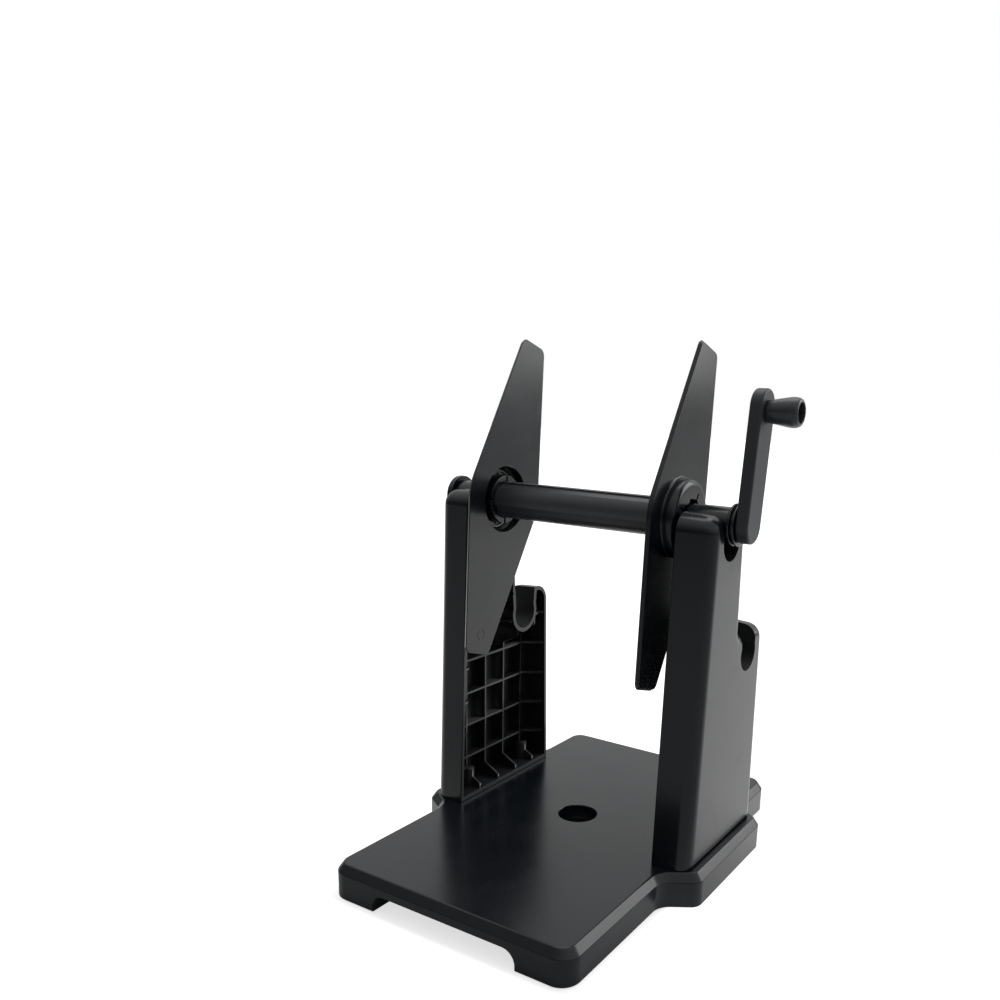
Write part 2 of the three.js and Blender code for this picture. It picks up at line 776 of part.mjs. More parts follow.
function endCapGeometry() {
  const steps = 4;
  const rim = Array.from({ length: steps + 1 }, (unused, k) => {
    const angle = (Math.PI / 2) * (k / steps);
    return [
      -end_cap_outer_x + end_cap_edge_radius * (1 - Math.sin(angle)),
      end_cap_radius - end_cap_edge_radius * (1 - Math.cos(angle)),
    ];
  }).reverse();
  const disc = turnedX([[-end_cap_outer_x, 0], ...rim, [-disc_inner_x, end_cap_radius], [-disc_inner_x, 0]]);
  return geometryOf(without(solid(disc), [
    rodX(axle_bore_radius, -disc_inner_x - end_cap_socket_depth, 0, small_round_steps),
    rodX(cap_screw_shank_radius + screw_clearance, -end_cap_outer_x - 1, 0, screw_steps),
  ]));
}

function capScrewGeometry() {
  const under_head = -end_cap_outer_x - touching_gap;
  const face = under_head - cap_screw_head_height;
  const tip = axle_start_x + cap_screw_reach - 1;
  return closed(turnedX([
    [face, 0],
    [face, cap_screw_head_radius / 2],
    [face + cap_screw_head_height / 2, cap_screw_head_radius * 0.9],
    [under_head, cap_screw_head_radius],
    [under_head, cap_screw_shank_radius],
    [tip, cap_screw_shank_radius],
    [tip, 0],
  ], small_round_steps));
}

/** Two thin discs with a groove between them. */
function collarGeometry() {
  const groove_start = disc_inner_x + collar_disc_thickness;
  const groove_end = groove_start + collar_groove_width;
  const disc = (from, to) => [
    [from, disc_radius - collar_edge],
    [from + collar_edge, disc_radius],
    [to - collar_edge, disc_radius],
    [to, disc_radius - collar_edge],
  ];
  return closed(turnedX([
    [disc_inner_x, axle_bore_radius],
    ...disc(disc_inner_x, groove_start),
    [groove_start, bush_radius],
    [groove_end, bush_radius],
    ...disc(groove_end, collar_outer_x),
    [collar_outer_x, axle_bore_radius],
    [disc_inner_x, axle_bore_radius],
  ]));
}

piece('spindle_tube', tubeGeometry(), plastic_smooth, blades);
piece('spindle_axle', axleGeometry(), steel_plain, crank_parts);
piece('left_bush', bushGeometry(-bush_outer_x, -bush_inner_x), plastic_smooth, blades);
piece('right_bush', bushGeometry(bush_inner_x, bush_outer_x), plastic_smooth, blades);
piece('left_end_cap', endCapGeometry(), plastic_smooth, crank_parts);
piece('end_cap_screw', capScrewGeometry(), steel_blackened, crank_parts);
piece('right_collar', collarGeometry(), plastic_smooth, crank_parts);

// Flanges: one bow-tie moulding with a dished hub and a split collet, used twice

/** The blade's outline: two tips joined to a round waist by lines that touch it. */
function bladeOutline(inset) {
  const [tip, half_width] = [flange_length / 2, flange_tip_half_width];
  const reach = Math.hypot(tip, half_width);
  const edge_normal = Math.atan2(tip, half_width) - Math.acos(flange_waist_radius / reach);
  const waist = flange_waist_radius / Math.cos(edge_normal);
  return roundedOutline([
    [half_width, -tip, flange_tip_radius],
    [waist, 0, flange_waist_radius],
    [half_width, tip, flange_tip_radius],
    [-half_width, tip, flange_tip_radius],
    [-waist, 0, flange_waist_radius],
    [-half_width, -tip, flange_tip_radius],
  ], inset);
}

function flangeGeometry() {
  const steps = 4;
  const shoulder = Array.from({ length: steps + 1 }, (unused, k) => {
    const angle = (Math.PI / 2) * (k / steps);
    return [
      hub_face - hub_shoulder_radius * (1 - Math.sin(angle)),
      hub_radius - hub_shoulder_radius * (1 - Math.cos(angle)),
    ];
  });
  const foot_x = flange_thickness / 2;
  const cup = turnedX([[foot_x, 0], [foot_x, hub_radius], ...shoulder, [hub_face, 0]]);
  const floor_x = hub_face - hub_floor;
  const fillet = Array.from({ length: steps + 1 }, (unused, k) => {
    const angle = (Math.PI / 2) * (k / steps);
    return [
      floor_x - hub_recess_fillet * (1 - Math.sin(angle)),
      hub_recess_radius - hub_recess_fillet * (1 - Math.cos(angle)),
    ];
  });
  const recess = turnedX([[-1, 0], [-1, hub_recess_radius], ...fillet, [floor_x, 0]]);
  const collet_radius = collet_bore_radius + collet_wall;
  const key_width = channel_width - 2 * key_side_clearance;
  const key_inner = tube_radius - channel_depth + key_top_clearance;
  const key_outer = collet_bore_radius + collet_wall / 2;
  const dished = solid(bevelledPrism(bladeOutline, 0, flange_thickness, flange_edge, flange_draft, alongX))
    .add(solid(cup))
    .subtract(solid(recess))
    .add(solid(rodX(collet_radius, 0, floor_x + hub_floor / 2)));
  const bored = without(dished, [
    rodX(collet_bore_radius, -1, hub_face + 1),
    ...spokes(collet_slot_angle, collet_slot_width, tube_radius, collet_slot_reach, -1, hub_face + 1),
  ]);
  return geometryOf(bored.add(joined(spokes(Math.PI / 4, key_width, key_inner, key_outer, 0, hub_face))));
}

const flange_geometry = flangeGeometry();
piece('right_flange', flange_geometry, plastic_black, blades).position.x = right_flange_x;
const left_flange = piece('left_flange', flange_geometry, plastic_black, blades);
left_flange.position.x = left_flange_x;
left_flange.rotation.z = Math.PI;

// Crank arm with its knob

/** A bar with round ends from the spindle's axis to the knob's. */
function crankOutline(inset) {
  const steps = 14;
  const radius = crank_width / 2 - inset;
  const arc = (middle, first_angle) => Array.from({ length: steps + 1 }, (unused, k) => {
    const angle = first_angle + (Math.PI * k) / steps;
    return new THREE.Vector2(radius * Math.cos(angle), middle + radius * Math.sin(angle));
  });
  return [...arc(crank_reach, 0), ...arc(0, Math.PI)];
}

function crankGeometry() {
  const arm = solid(bevelledPrism(crankOutline, crank_inner_x, crank_outer_x, crank_edge, 0, alongX));
  const socket = flattedRod(crank_inner_x - 1, crank_inner_x + crank_socket_depth, shaft_clearance);
  const tip_hole = rodX(
    knob_screw_tip_radius + screw_clearance,
    crank_outer_x - knob_screw_tip_length - touching_gap,
    crank_outer_x + 1,
    screw_steps,
  );
  tip_hole.translate(0, 0, knob_reach);
  return geometryOf(without(arm.subtract(socket), [tip_hole]));
}

/** A turned grip: a cone that swells near its round end, with a recess for the screw head. */
function knobGeometry() {
  const { lerp } = THREE.MathUtils;
  const grip = new THREE.SplineCurve([
    new THREE.Vector2(knob_inner_x, knob_root_radius),
    new THREE.Vector2(knob_inner_x + 0.32 * knob_length, lerp(knob_root_radius, knob_swell_radius, 0.3)),
    new THREE.Vector2(knob_inner_x + 0.6 * knob_length, lerp(knob_root_radius, knob_swell_radius, 0.76)),
    new THREE.Vector2(knob_inner_x + 0.76 * knob_length, knob_swell_radius),
    new THREE.Vector2(knob_inner_x + 0.92 * knob_length, lerp(knob_end_radius, knob_swell_radius, 0.6)),
    new THREE.Vector2(knob_outer_x, knob_end_radius),
  ]).getPoints(12).map((point) => [point.x, point.y]);
  const bore_radius = knob_screw_radius + shaft_clearance;
  const geometry = turnedX([
    ...grip,
    [knob_outer_x, knob_recess_radius],
    [knob_recess_floor_x, knob_recess_radius],
    [knob_recess_floor_x, bore_radius],
    [knob_inner_x, bore_radius],
    [knob_inner_x, knob_root_radius],
  ]);
  geometry.translate(0, 0, knob_reach);
  return closed(geometry);
}

function knobScrewGeometry() {
  const under_head = knob_recess_floor_x + touching_gap;
  const shoulder = crank_outer_x + touching_gap;
  const geometry = turnedX([
    [shoulder - knob_screw_tip_length, 0],
    [shoulder - knob_screw_tip_length, knob_screw_tip_radius],
    [shoulder, knob_screw_tip_radius],
    [shoulder, knob_screw_radius],
    [under_head, knob_screw_radius],
    [under_head, knob_screw_head_radius],
    [under_head + knob_screw_head_height * 0.8, knob_screw_head_radius],
    [under_head + knob_screw_head_height, knob_screw_head_radius * 0.8],
    [under_head + knob_screw_head_height, 0],
  ], small_round_steps);
  geometry.translate(0, 0, knob_reach);
  return closed(geometry);
}

piece('crank_arm', crankGeometry(), plastic_black, crank_parts);
piece('crank_knob', knobGeometry(), plastic_smooth, crank_parts);
piece('knob_screw', knobScrewGeometry(), steel_blackened, crank_parts);

export default object;
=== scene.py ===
"""Dresses the hand cranked label rewinder: fine moulded meshes, their finishes and a studio.

The fixed frame holds every piece at its real size and place. Each class below builds one
sub-assembly around it, in metres, with +X along the spindle towards the crank and +Z up.
"""

from __future__ import annotations

import logging
import math
from contextlib import contextmanager
from dataclasses import dataclass, field
from enum import Enum
from typing import Any, Iterable, Iterator, Sequence

import bmesh
import bpy
from mathutils import Matrix, Vector


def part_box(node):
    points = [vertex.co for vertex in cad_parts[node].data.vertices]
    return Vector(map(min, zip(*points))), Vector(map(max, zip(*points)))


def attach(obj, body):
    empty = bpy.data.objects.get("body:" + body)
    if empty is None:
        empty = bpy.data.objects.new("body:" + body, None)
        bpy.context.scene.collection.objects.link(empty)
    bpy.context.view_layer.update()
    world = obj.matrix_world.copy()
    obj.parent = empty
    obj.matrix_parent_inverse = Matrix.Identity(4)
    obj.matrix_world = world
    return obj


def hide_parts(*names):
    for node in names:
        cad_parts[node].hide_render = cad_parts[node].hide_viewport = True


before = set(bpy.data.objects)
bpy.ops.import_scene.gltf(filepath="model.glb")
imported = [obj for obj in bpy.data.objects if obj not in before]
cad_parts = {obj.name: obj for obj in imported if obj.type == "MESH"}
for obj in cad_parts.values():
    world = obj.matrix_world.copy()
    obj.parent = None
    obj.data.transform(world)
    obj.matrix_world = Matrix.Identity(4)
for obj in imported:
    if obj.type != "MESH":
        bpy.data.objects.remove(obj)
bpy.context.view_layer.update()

LOG = logging.getLogger("rewinder")

Pair = tuple[float, float]
Triple = tuple[float, float, float]
Outline = list[Pair]
Section = tuple[float, Outline]
Body = bpy.types.Object
Node = bpy.types.Node
Socket = bpy.types.NodeSocket
Tree = bpy.types.NodeTree

TOUCHING_GAP = 0.0003
RUNNING_CLEARANCE = 0.0003
CUT_SPARE = 0.001
CUT_REACH = 0.2
UNSEEN_RADIUS = 0.001
ARC_STEPS = 12
TURN_STEPS = 96
SMALL_TURN_STEPS = 48
MERGE_DISTANCE = 1e-7
WELD_DISTANCE = 2e-6
SHARP_ANGLE = math.radians(32)
NORMAL_WEIGHT = 90
SOFT_COURSE = "SMOOTHSTEP"


class Axis(Enum):
    """The axis that a lofted or turned body runs along."""

    X = "x"
    Y = "y"
    Z = "z"

    def place(self, u: float, v: float, level: float) -> Vector:
        """Turns a point of an outline at a level into a point in space.

        Args:
            u: first coordinate in the outline's plane.
            v: second coordinate in the outline's plane.
            level: distance along this axis.

        Returns:
            The point, with u, v and the axis right handed.
        """
        if self is Axis.X:
            return Vector((level, u, v))
        if self is Axis.Y:
            return Vector((v, level, u))
        return Vector((u, v, level))


class Cut(Enum):
    """How a tool changes the body that it is set against."""

    AWAY = "DIFFERENCE"
    ONTO = "UNION"
    WITHIN = "INTERSECT"


class Slot(Enum):
    """The record's material slots."""

    BLACK_PLASTIC = "black_plastic"
    SMOOTH_PLASTIC = "smooth_plastic"
    RUBBER = "rubber"
    STEEL = "steel"
    BLACK_STEEL = "black_steel"


# Outlines


def rounded_outline(corners: Sequence[Triple], inset: float = 0.0) -> Outline:
    """Rounds the corners of a counter-clockwise outline.

    Args:
        corners: each corner's two coordinates and its radius.
        inset: how far the outline moves inwards.

    Returns:
        The outline's points, with the same count at any inset.
    """
    least_radius = 0.0002
    points = []
    edges = []
    for i, (u, v, _) in enumerate(corners):
        next_u, next_v, _ = corners[(i + 1) % len(corners)]
        direction = Vector((next_u - u, next_v - v)).normalized()
        edges.append((Vector((u - direction.y * inset, v + direction.x * inset)), direction))
    for i, (after_point, after) in enumerate(edges):
        before_point, before = edges[i - 1]
        cross = before.x * after.y - before.y * after.x
        turn = math.atan2(cross, before.dot(after))
        gap = after_point - before_point
        corner = before_point + before * ((gap.x * after.y - gap.y * after.x) / cross)
        side = math.copysign(1.0, turn)
        radius = max(corners[i][2] - side * inset, least_radius)
        start = corner - before * (radius * math.tan(abs(turn) / 2))
        centre = start + Vector((-before.y, before.x)) * side * radius
        for k in range(ARC_STEPS + 1):
            arm = Matrix.Rotation(turn * k / ARC_STEPS, 2) @ (start - centre)
            points.append(tuple(centre + arm))
    return points


def soft_profile(points: Sequence[Triple], steps: int = 6) -> list[Pair]:
    """Rounds the inner corners of an open profile.

    Args:
        points: each point's two coordinates and the radius of its corner.
        steps: straight pieces in each rounded corner.

    Returns:
        The profile's points, ends kept.
    """
    longest_share = 0.98
    result = [points[0][:2]]
    for (ax, ay, before), (bx, by, radius), (cx, cy, after) in zip(points, points[1:], points[2:]):
        if radius <= 0:
            result.append((bx, by))
            continue
        middle = Vector((bx, by))
        back = Vector((ax, ay)) - middle
        ahead = Vector((cx, cy)) - middle
        reach = min(
            radius / math.tan(back.angle(ahead) / 2),
            longest_share * back.length * radius / (radius + before),
            longest_share * ahead.length * radius / (radius + after),
        )
        start = middle + back.normalized() * reach
        end = middle + ahead.normalized() * reach
        for k in range(steps + 1):
            t = k / steps
            point = start * (1 - t) ** 2 + middle * (2 * t * (1 - t)) + end * t ** 2
            result.append(tuple(point))
    result.append(points[-1][:2])
    return result


def rim(face: float, radius: float, inwards: int, steps: int = ARC_STEPS // 2) -> list[Pair]:
    """Rounds a rim over a quarter turn.

    Args:
        face: the level of the face beside the rim.
        radius: the rim's radius.
        inwards: 1 where the body lies above the face, -1 where it lies below.
        steps: straight pieces in the quarter turn.

    Returns:
        Pairs of level and inset, from the lowest level up.
    """
    turns = [math.pi / 2 * k / steps for k in range(steps + 1)]
    pairs = [(face + inwards * radius * (1 - math.sin(a)), radius * (1 - math.cos(a))) for a in turns]
    return pairs[::-1] if inwards > 0 else pairs


def encloses(outline: Outline, point: Pair) -> bool:
    """Says if a point lies within an outline.

    Args:
        outline: the closed outline.
        point: the point, in the outline's plane.

    Returns:
        True inside.
    """
    across, up = point
    within = False
    for (x0, y0), (x1, y1) in zip(outline, outline[1:] + outline[:1]):
        if (y0 > up) != (y1 > up) and across < x0 + (up - y0) * (x1 - x0) / (y1 - y0):
            within = not within
    return within


# Meshes


@contextmanager
def editing(mesh: bpy.types.Mesh) -> Iterator[bmesh.types.BMesh]:
    """Opens a mesh for work and writes it back at the end.

    Args:
        mesh: the mesh to change.

    Yields:
        The open mesh.
    """
    work = bmesh.new()
    work.from_mesh(mesh)
    yield work
    work.to_mesh(mesh)
    work.free()


def mesh_object(name: str, points: Iterable[Sequence[float]], faces: Iterable[Sequence[int]]) -> Body:
    """Makes a linked object, its faces turned outwards.

    Args:
        name: the object's name.
        points: the vertices.
        faces: the faces as vertex numbers.

    Returns:
        The object, at the origin.
    """
    mesh = bpy.data.meshes.new(name)
    mesh.from_pydata([tuple(p) for p in points], [], [tuple(f) for f in faces])
    with editing(mesh) as work:
        bmesh.ops.remove_doubles(work, verts=work.verts, dist=MERGE_DISTANCE)
        bmesh.ops.recalc_face_normals(work, faces=work.faces)
    thing = bpy.data.objects.new(name, mesh)
    bpy.context.scene.collection.objects.link(thing)
    return thing


def loft(name: str, sections: Sequence[Section], axis: Axis) -> Body:
    """Skins a row of outlines that have equal counts of points, and caps both ends.

    Args:
        name: the object's name.
        sections: each section's level and outline.
        axis: the axis that the levels run along.

    Returns:
        The closed body.
    """
    count = len(sections[0][1])
    points = [axis.place(u, v, level) for level, outline in sections for u, v in outline]
    faces = []
    for s in range(len(sections) - 1):
        for i in range(count):
            a, b = s * count + i, s * count + (i + 1) % count
            faces.append((a, b, b + count, a + count))
    last = (len(sections) - 1) * count
    faces.append(tuple(reversed(range(count))))
    faces.append(tuple(range(last, last + count)))
    return mesh_object(name, points, faces)


def prism(name: str, outline: Outline, low: float, high: float, axis: Axis) -> Body:
    """A straight prism of one outline between two levels."""
    return loft(name, [(low, outline), (high, outline)], axis)


def block(name: str, low: Sequence[float], high: Sequence[float]) -> Body:
    """A block between two corners."""
    outline = [(low[0], low[1]), (high[0], low[1]), (high[0], high[1]), (low[0], high[1])]
    return prism(name, outline, low[2], high[2], Axis.Z)


def turned(name: str, profile: Sequence[Pair], axis: Axis, centre: Pair = (0.0, 0.0),
           steps: int = TURN_STEPS) -> Body:
    """Turns a profile about an axis.

    Args:
        name: the object's name.
        profile: pairs of level and radius; it ends on the axis or closes on itself.
        axis: the axis to turn about.
        centre: the axis's place in the outline's plane.
        steps: straight pieces in a full turn.

    Returns:
        The closed body.
    """
    rings = []
    points = []
    for level, radius in profile:
        if radius < MERGE_DISTANCE:
            rings.append([len(points)] * steps)
            points.append(axis.place(*centre, level))
            continue
        rings.append(list(range(len(points), len(points) + steps)))
        for k in range(steps):
            angle = 2 * math.pi * k / steps
            points.append(axis.place(centre[0] + radius * math.cos(angle),
                                     centre[1] + radius * math.sin(angle), level))
    pairs = list(zip(rings, rings[1:]))
    if profile[0][1] > MERGE_DISTANCE:
        pairs.append((rings[-1], rings[0]))
    faces = []
    for low, high in pairs:
        for k in range(steps):
            corners = (low[k], low[(k + 1) % steps], high[(k + 1) % steps], high[k])
            unique = tuple(dict.fromkeys(corners))
            if len(unique) > 2:
                faces.append(unique)
    return mesh_object(name, points, faces)


def rod(name: str, radius: float, low: float, high: float, axis: Axis, centre: Pair = (0.0, 0.0),
        steps: int = TURN_STEPS) -> Body:
    """A solid rod between two levels."""
    return turned(name, [(low, 0.0), (low, radius), (high, radius), (high, 0.0)], axis, centre, steps)


def settled(thing: Body) -> Body:
    """Turns an object's modifiers into plain mesh.

    Args:
        thing: the object.

    Returns:
        The same object, without modifiers.
    """
    graph = bpy.context.evaluated_depsgraph_get()
    graph.update()
    mesh = bpy.data.meshes.new_from_object(thing.evaluated_get(graph), depsgraph=graph)
    old = thing.data
    thing.modifiers.clear()
    thing.data = mesh
    bpy.data.meshes.remove(old)
    return thing


def removed(things: Iterable[Body]) -> None:
    """Deletes tools that have done their work.

    Args:
        things: the tools.
    """
    for thing in things:
        mesh = thing.data
        bpy.data.objects.remove(thing)
        bpy.data.meshes.remove(mesh)


def carved(body: Body, how: Cut, tools: Sequence[Body]) -> Body:
    """Cuts tools from a body, joins them to it, or keeps what lies in them.

    Args:
        body: the body to change.
        how: what the tools do.
        tools: closed bodies, used up.

    Returns:
        The body.
    """
    for tool in tools:
        modifier = body.modifiers.new("carve", "BOOLEAN")
        modifier.operation = how.value
        modifier.solver = "MANIFOLD"
        modifier.object = tool
    settled(body)
    removed(tools)
    return body


def copied(thing: Body, name: str, change: Matrix) -> Body:
    """Copies a body, turned or mirrored.

    Args:
        thing: the body.
        name: the copy's name.
        change: how the copy is turned or mirrored.

    Returns:
        The copy, its faces turned outwards.
    """
    twin = bpy.data.objects.new(name, thing.data.copy())
    bpy.context.scene.collection.objects.link(twin)
    twin.data.transform(change)
    if change.determinant() < 0:
        twin.data.flip_normals()
    return twin


def cross_recess(face: float, depth: float, reach: float, half_width: float, axis: Axis) -> list[Body]:
    """Makes the two cutters of a screw head's cross.

    Args:
        face: the level of the head's face.
        depth: how deep the cross goes, upwards along the axis.
        reach: half of the cross's length.
        half_width: half of each bar's width.
        axis: the screw's axis.

    Returns:
        The two bars.
    """
    bars = ((reach, half_width), (half_width, reach))
    return [prism("bit", [(-u, -v), (u, -v), (u, v), (-u, v)], face - CUT_SPARE, face + depth, axis)
            for u, v in bars]


def smoothed(thing: Body) -> Body:
    """Shades a body smooth but for its steep edges, with normals weighted by area.

    Args:
        thing: the body.

    Returns:
        The body.
    """
    with editing(thing.data) as work:
        bmesh.ops.remove_doubles(work, verts=work.verts, dist=WELD_DISTANCE)
        bmesh.ops.dissolve_degenerate(work, edges=work.edges, dist=WELD_DISTANCE)
    thing.data.shade_smooth()
    thing.data.set_sharp_from_angle(angle=SHARP_ANGLE)
    modifier = thing.modifiers.new("normals", "WEIGHTED_NORMAL")
    modifier.keep_sharp = True
    modifier.weight = NORMAL_WEIGHT
    return settled(thing)


# Node trees


class Graph:
    """Adds and joins the nodes of one tree."""

    def __init__(self, tree: Tree) -> None:
        """Keeps the tree to work on."""
        self.tree = tree

    def add(self, kind: str, inputs: dict[str, Any] | None = None, **settings: Any) -> Node:
        """Adds a node.

        Args:
            kind: the node's type name.
            inputs: values or output sockets for its inputs, by name or number.
            settings: the node's own properties.

        Returns:
            The node.
        """
        node = self.tree.nodes.new(kind)
        for name, value in settings.items():
            setattr(node, name, value)
        for key, value in (inputs or {}).items():
            if isinstance(value, Socket):
                self.tree.links.new(value, node.inputs[key])
            else:
                node.inputs[key].default_value = value
        return node

    def math(self, operation: str, *values: Any) -> Socket:
        """Adds a math node and returns its output."""
        return self.add("ShaderNodeMath", dict(enumerate(values)), operation=operation).outputs[0]

    def vector(self, x: Any = 0.0, y: Any = 0.0, z: Any = 0.0) -> Socket:
        """Adds a vector made of three values and returns its output."""
        return self.add("ShaderNodeCombineXYZ", {"X": x, "Y": y, "Z": z}).outputs[0]

    def scaled(self, vector: Any, factor: Any) -> Socket:
        """Multiplies a vector or a colour by a value and returns the output."""
        return self.add("ShaderNodeVectorMath", {0: vector, "Scale": factor}, operation="SCALE").outputs[0]

    def ramp(self, value: Any, source: Pair, target: Pair = (0.0, 1.0),
             course: str = "LINEAR") -> Socket:
        """Leads a value from one pair of limits to another.

        Args:
            value: the value.
            source: its limits.
            target: the result's limits.
            course: the name of Blender's course between them.

        Returns:
            The output.
        """
        limits = {"From Min": source[0], "From Max": source[1], "To Min": target[0], "To Max": target[1]}
        node = self.add("ShaderNodeMapRange", {"Value": value, **limits}, interpolation_type=course)
        return node.outputs[0]

    def mix(self, share: Any, first: Any, second: Any) -> Socket:
        """Mixes two colours.

        Args:
            share: how much there is of the second.
            first: the first colour.
            second: the second colour.

        Returns:
            The output.
        """
        factor, first_colour, second_colour, result = 0, 6, 7, 2
        inputs = {factor: share, first_colour: first, second_colour: second}
        return self.add("ShaderNodeMix", inputs, data_type="RGBA").outputs[result]


def cleared(owner: bpy.types.Material | bpy.types.World) -> Graph:
    """Empties the nodes of a material or a world.

    Args:
        owner: the material or the world.

    Returns:
        The graph of its empty tree.
    """
    owner.use_nodes = True
    owner.node_tree.nodes.clear()
    return Graph(owner.node_tree)


def new_group(name: str, kind: str, inputs: Sequence[tuple[str, str, Any]],
              outputs: Sequence[tuple[str, str]]) -> tuple[Graph, Node]:
    """Makes a node group with named sockets.

    Args:
        name: the group's name.
        kind: the tree's type name.
        inputs: each input's name, socket type and default, where it has one.
        outputs: each output's name and socket type.

    Returns:
        The group's graph and its input node.
    """
    tree = bpy.data.node_groups.new(name, kind)
    for label, socket, default in inputs:
        item = tree.interface.new_socket(label, in_out="INPUT", socket_type=socket)
        if default is not None:
            item.default_value = default
    for label, socket in outputs:
        tree.interface.new_socket(label, in_out="OUTPUT", socket_type=socket)
    graph = Graph(tree)
    return graph, graph.add("NodeGroupInput")


class Pattern:
    """Geometry node trees for what repeats."""

    def __init__(self) -> None:
        """Builds each tree once."""
        self.rows = self._rows_tree()
        self.corners = self._corners_tree()
        self.spokes = self._spokes_tree()

    @staticmethod
    def _begun(name: str, inputs: Sequence[tuple[str, str, Any]]) -> tuple[Graph, Node]:
        """Starts a tree whose last input is the material."""
        material = ("Material", "NodeSocketMaterial", None)
        return new_group(name, "GeometryNodeTree", [*inputs, material], [("Geometry", "NodeSocketGeometry")])

    @staticmethod
    def _ended(graph: Graph, given: Node, sockets: dict[str, Any]) -> Tree:
        """Ends a tree with copies on points, made real and given their material.

        Args:
            graph: the tree's graph.
            given: its input node.
            sockets: the inputs of the node that sets the copies on the points.

        Returns:
            The tree.
        """
        copies = graph.add("GeometryNodeInstanceOnPoints", sockets)
        real = graph.add("GeometryNodeRealizeInstances", {"Geometry": copies.outputs[0]})
        dressed = graph.add("GeometryNodeSetMaterial", {
            "Geometry": real.outputs[0],
            "Material": given.outputs["Material"],
        })
        graph.add("NodeGroupOutput", {"Geometry": dressed.outputs[0]})
        return graph.tree

    def _rows_tree(self) -> Tree:
        """A row of equal blocks, such as ribs.

        Returns:
            The tree.
        """
        graph, given = self._begun("rib_row", [
            ("Count", "NodeSocketInt", 4),
            ("First", "NodeSocketVector", None),
            ("Step", "NodeSocketVector", None),
            ("Size", "NodeSocketVector", None),
        ])
        line = graph.add("GeometryNodeMeshLine", {
            "Count": given.outputs["Count"],
            "Start Location": given.outputs["First"],
            "Offset": given.outputs["Step"],
        })
        bar = graph.add("GeometryNodeMeshCube", {"Size": given.outputs["Size"]})
        return self._ended(graph, given, {"Points": line.outputs[0], "Instance": bar.outputs[0]})

    def _corners_tree(self) -> Tree:
        """One piece at the four corners of a rectangle, such as a screw or a foot.

        Returns:
            The tree.
        """
        graph, given = self._begun("four_corners", [
            ("Piece", "NodeSocketObject", None),
            ("Centre", "NodeSocketVector", None),
            ("Spread X", "NodeSocketFloat", 0.1),
            ("Spread Y", "NodeSocketFloat", 0.1),
        ])
        piece = graph.add("GeometryNodeObjectInfo", {"Object": given.outputs["Piece"]})
        grid = graph.add("GeometryNodeMeshGrid", {
            "Size X": given.outputs["Spread X"],
            "Size Y": given.outputs["Spread Y"],
            "Vertices X": 2,
            "Vertices Y": 2,
        })
        moved = graph.add("GeometryNodeTransform", {
            "Geometry": grid.outputs[0],
            "Translation": given.outputs["Centre"],
        })
        return self._ended(graph, given, {"Points": moved.outputs[0], "Instance": piece.outputs["Geometry"]})

    def _spokes_tree(self) -> Tree:
        """Bars that stand out round the X axis, such as channels, slots and keys.

        Returns:
            The tree.
        """
        graph, given = self._begun("spokes", [
            ("Count", "NodeSocketInt", 4),
            ("First Angle", "NodeSocketFloat", 0.0),
            ("Width", "NodeSocketFloat", 0.002),
            ("Inner", "NodeSocketFloat", 0.01),
            ("Outer", "NodeSocketFloat", 0.012),
            ("Low", "NodeSocketFloat", 0.0),
            ("High", "NodeSocketFloat", 0.01),
        ])
        inner, outer = given.outputs["Inner"], given.outputs["Outer"]
        low, high = given.outputs["Low"], given.outputs["High"]
        count = given.outputs["Count"]
        size = graph.vector(graph.math("SUBTRACT", high, low), given.outputs["Width"],
                            graph.math("SUBTRACT", outer, inner))
        middle = graph.vector(graph.math("MULTIPLY", graph.math("ADD", low, high), 0.5), 0.0,
                              graph.math("MULTIPLY", graph.math("ADD", inner, outer), 0.5))
        bar = graph.add("GeometryNodeMeshCube", {"Size": size})
        placed = graph.add("GeometryNodeTransform", {"Geometry": bar.outputs[0], "Translation": middle})
        points = graph.add("GeometryNodeMeshLine", {"Count": count, "Offset": (0.0, 0.0, 0.0)})
        share = graph.math("DIVIDE", graph.add("GeometryNodeInputIndex").outputs[0], count)
        angle = graph.math("MULTIPLY_ADD", share, 2 * math.pi, given.outputs["First Angle"])
        return self._ended(graph, given, {
            "Points": points.outputs[0],
            "Instance": placed.outputs[0],
            "Rotation": graph.vector(angle),
        })

    @staticmethod
    def grown(name: str, tree: Tree, values: dict[str, Any]) -> Body:
        """Runs a tree and keeps its result as a plain mesh.

        Args:
            name: the object's name.
            tree: the geometry node tree.
            values: the tree's inputs by name.

        Returns:
            The object.
        """
        thing = mesh_object(name, [], [])
        modifier = thing.modifiers.new(name, "NODES")
        modifier.node_group = tree
        for item in tree.interface.items_tree:
            if item.in_out == "INPUT" and item.name in values:
                modifier[item.identifier] = values[item.name]
        settled(thing)
        with editing(thing.data) as work:
            bmesh.ops.recalc_face_normals(work, faces=work.faces)
        return thing


# Finishes


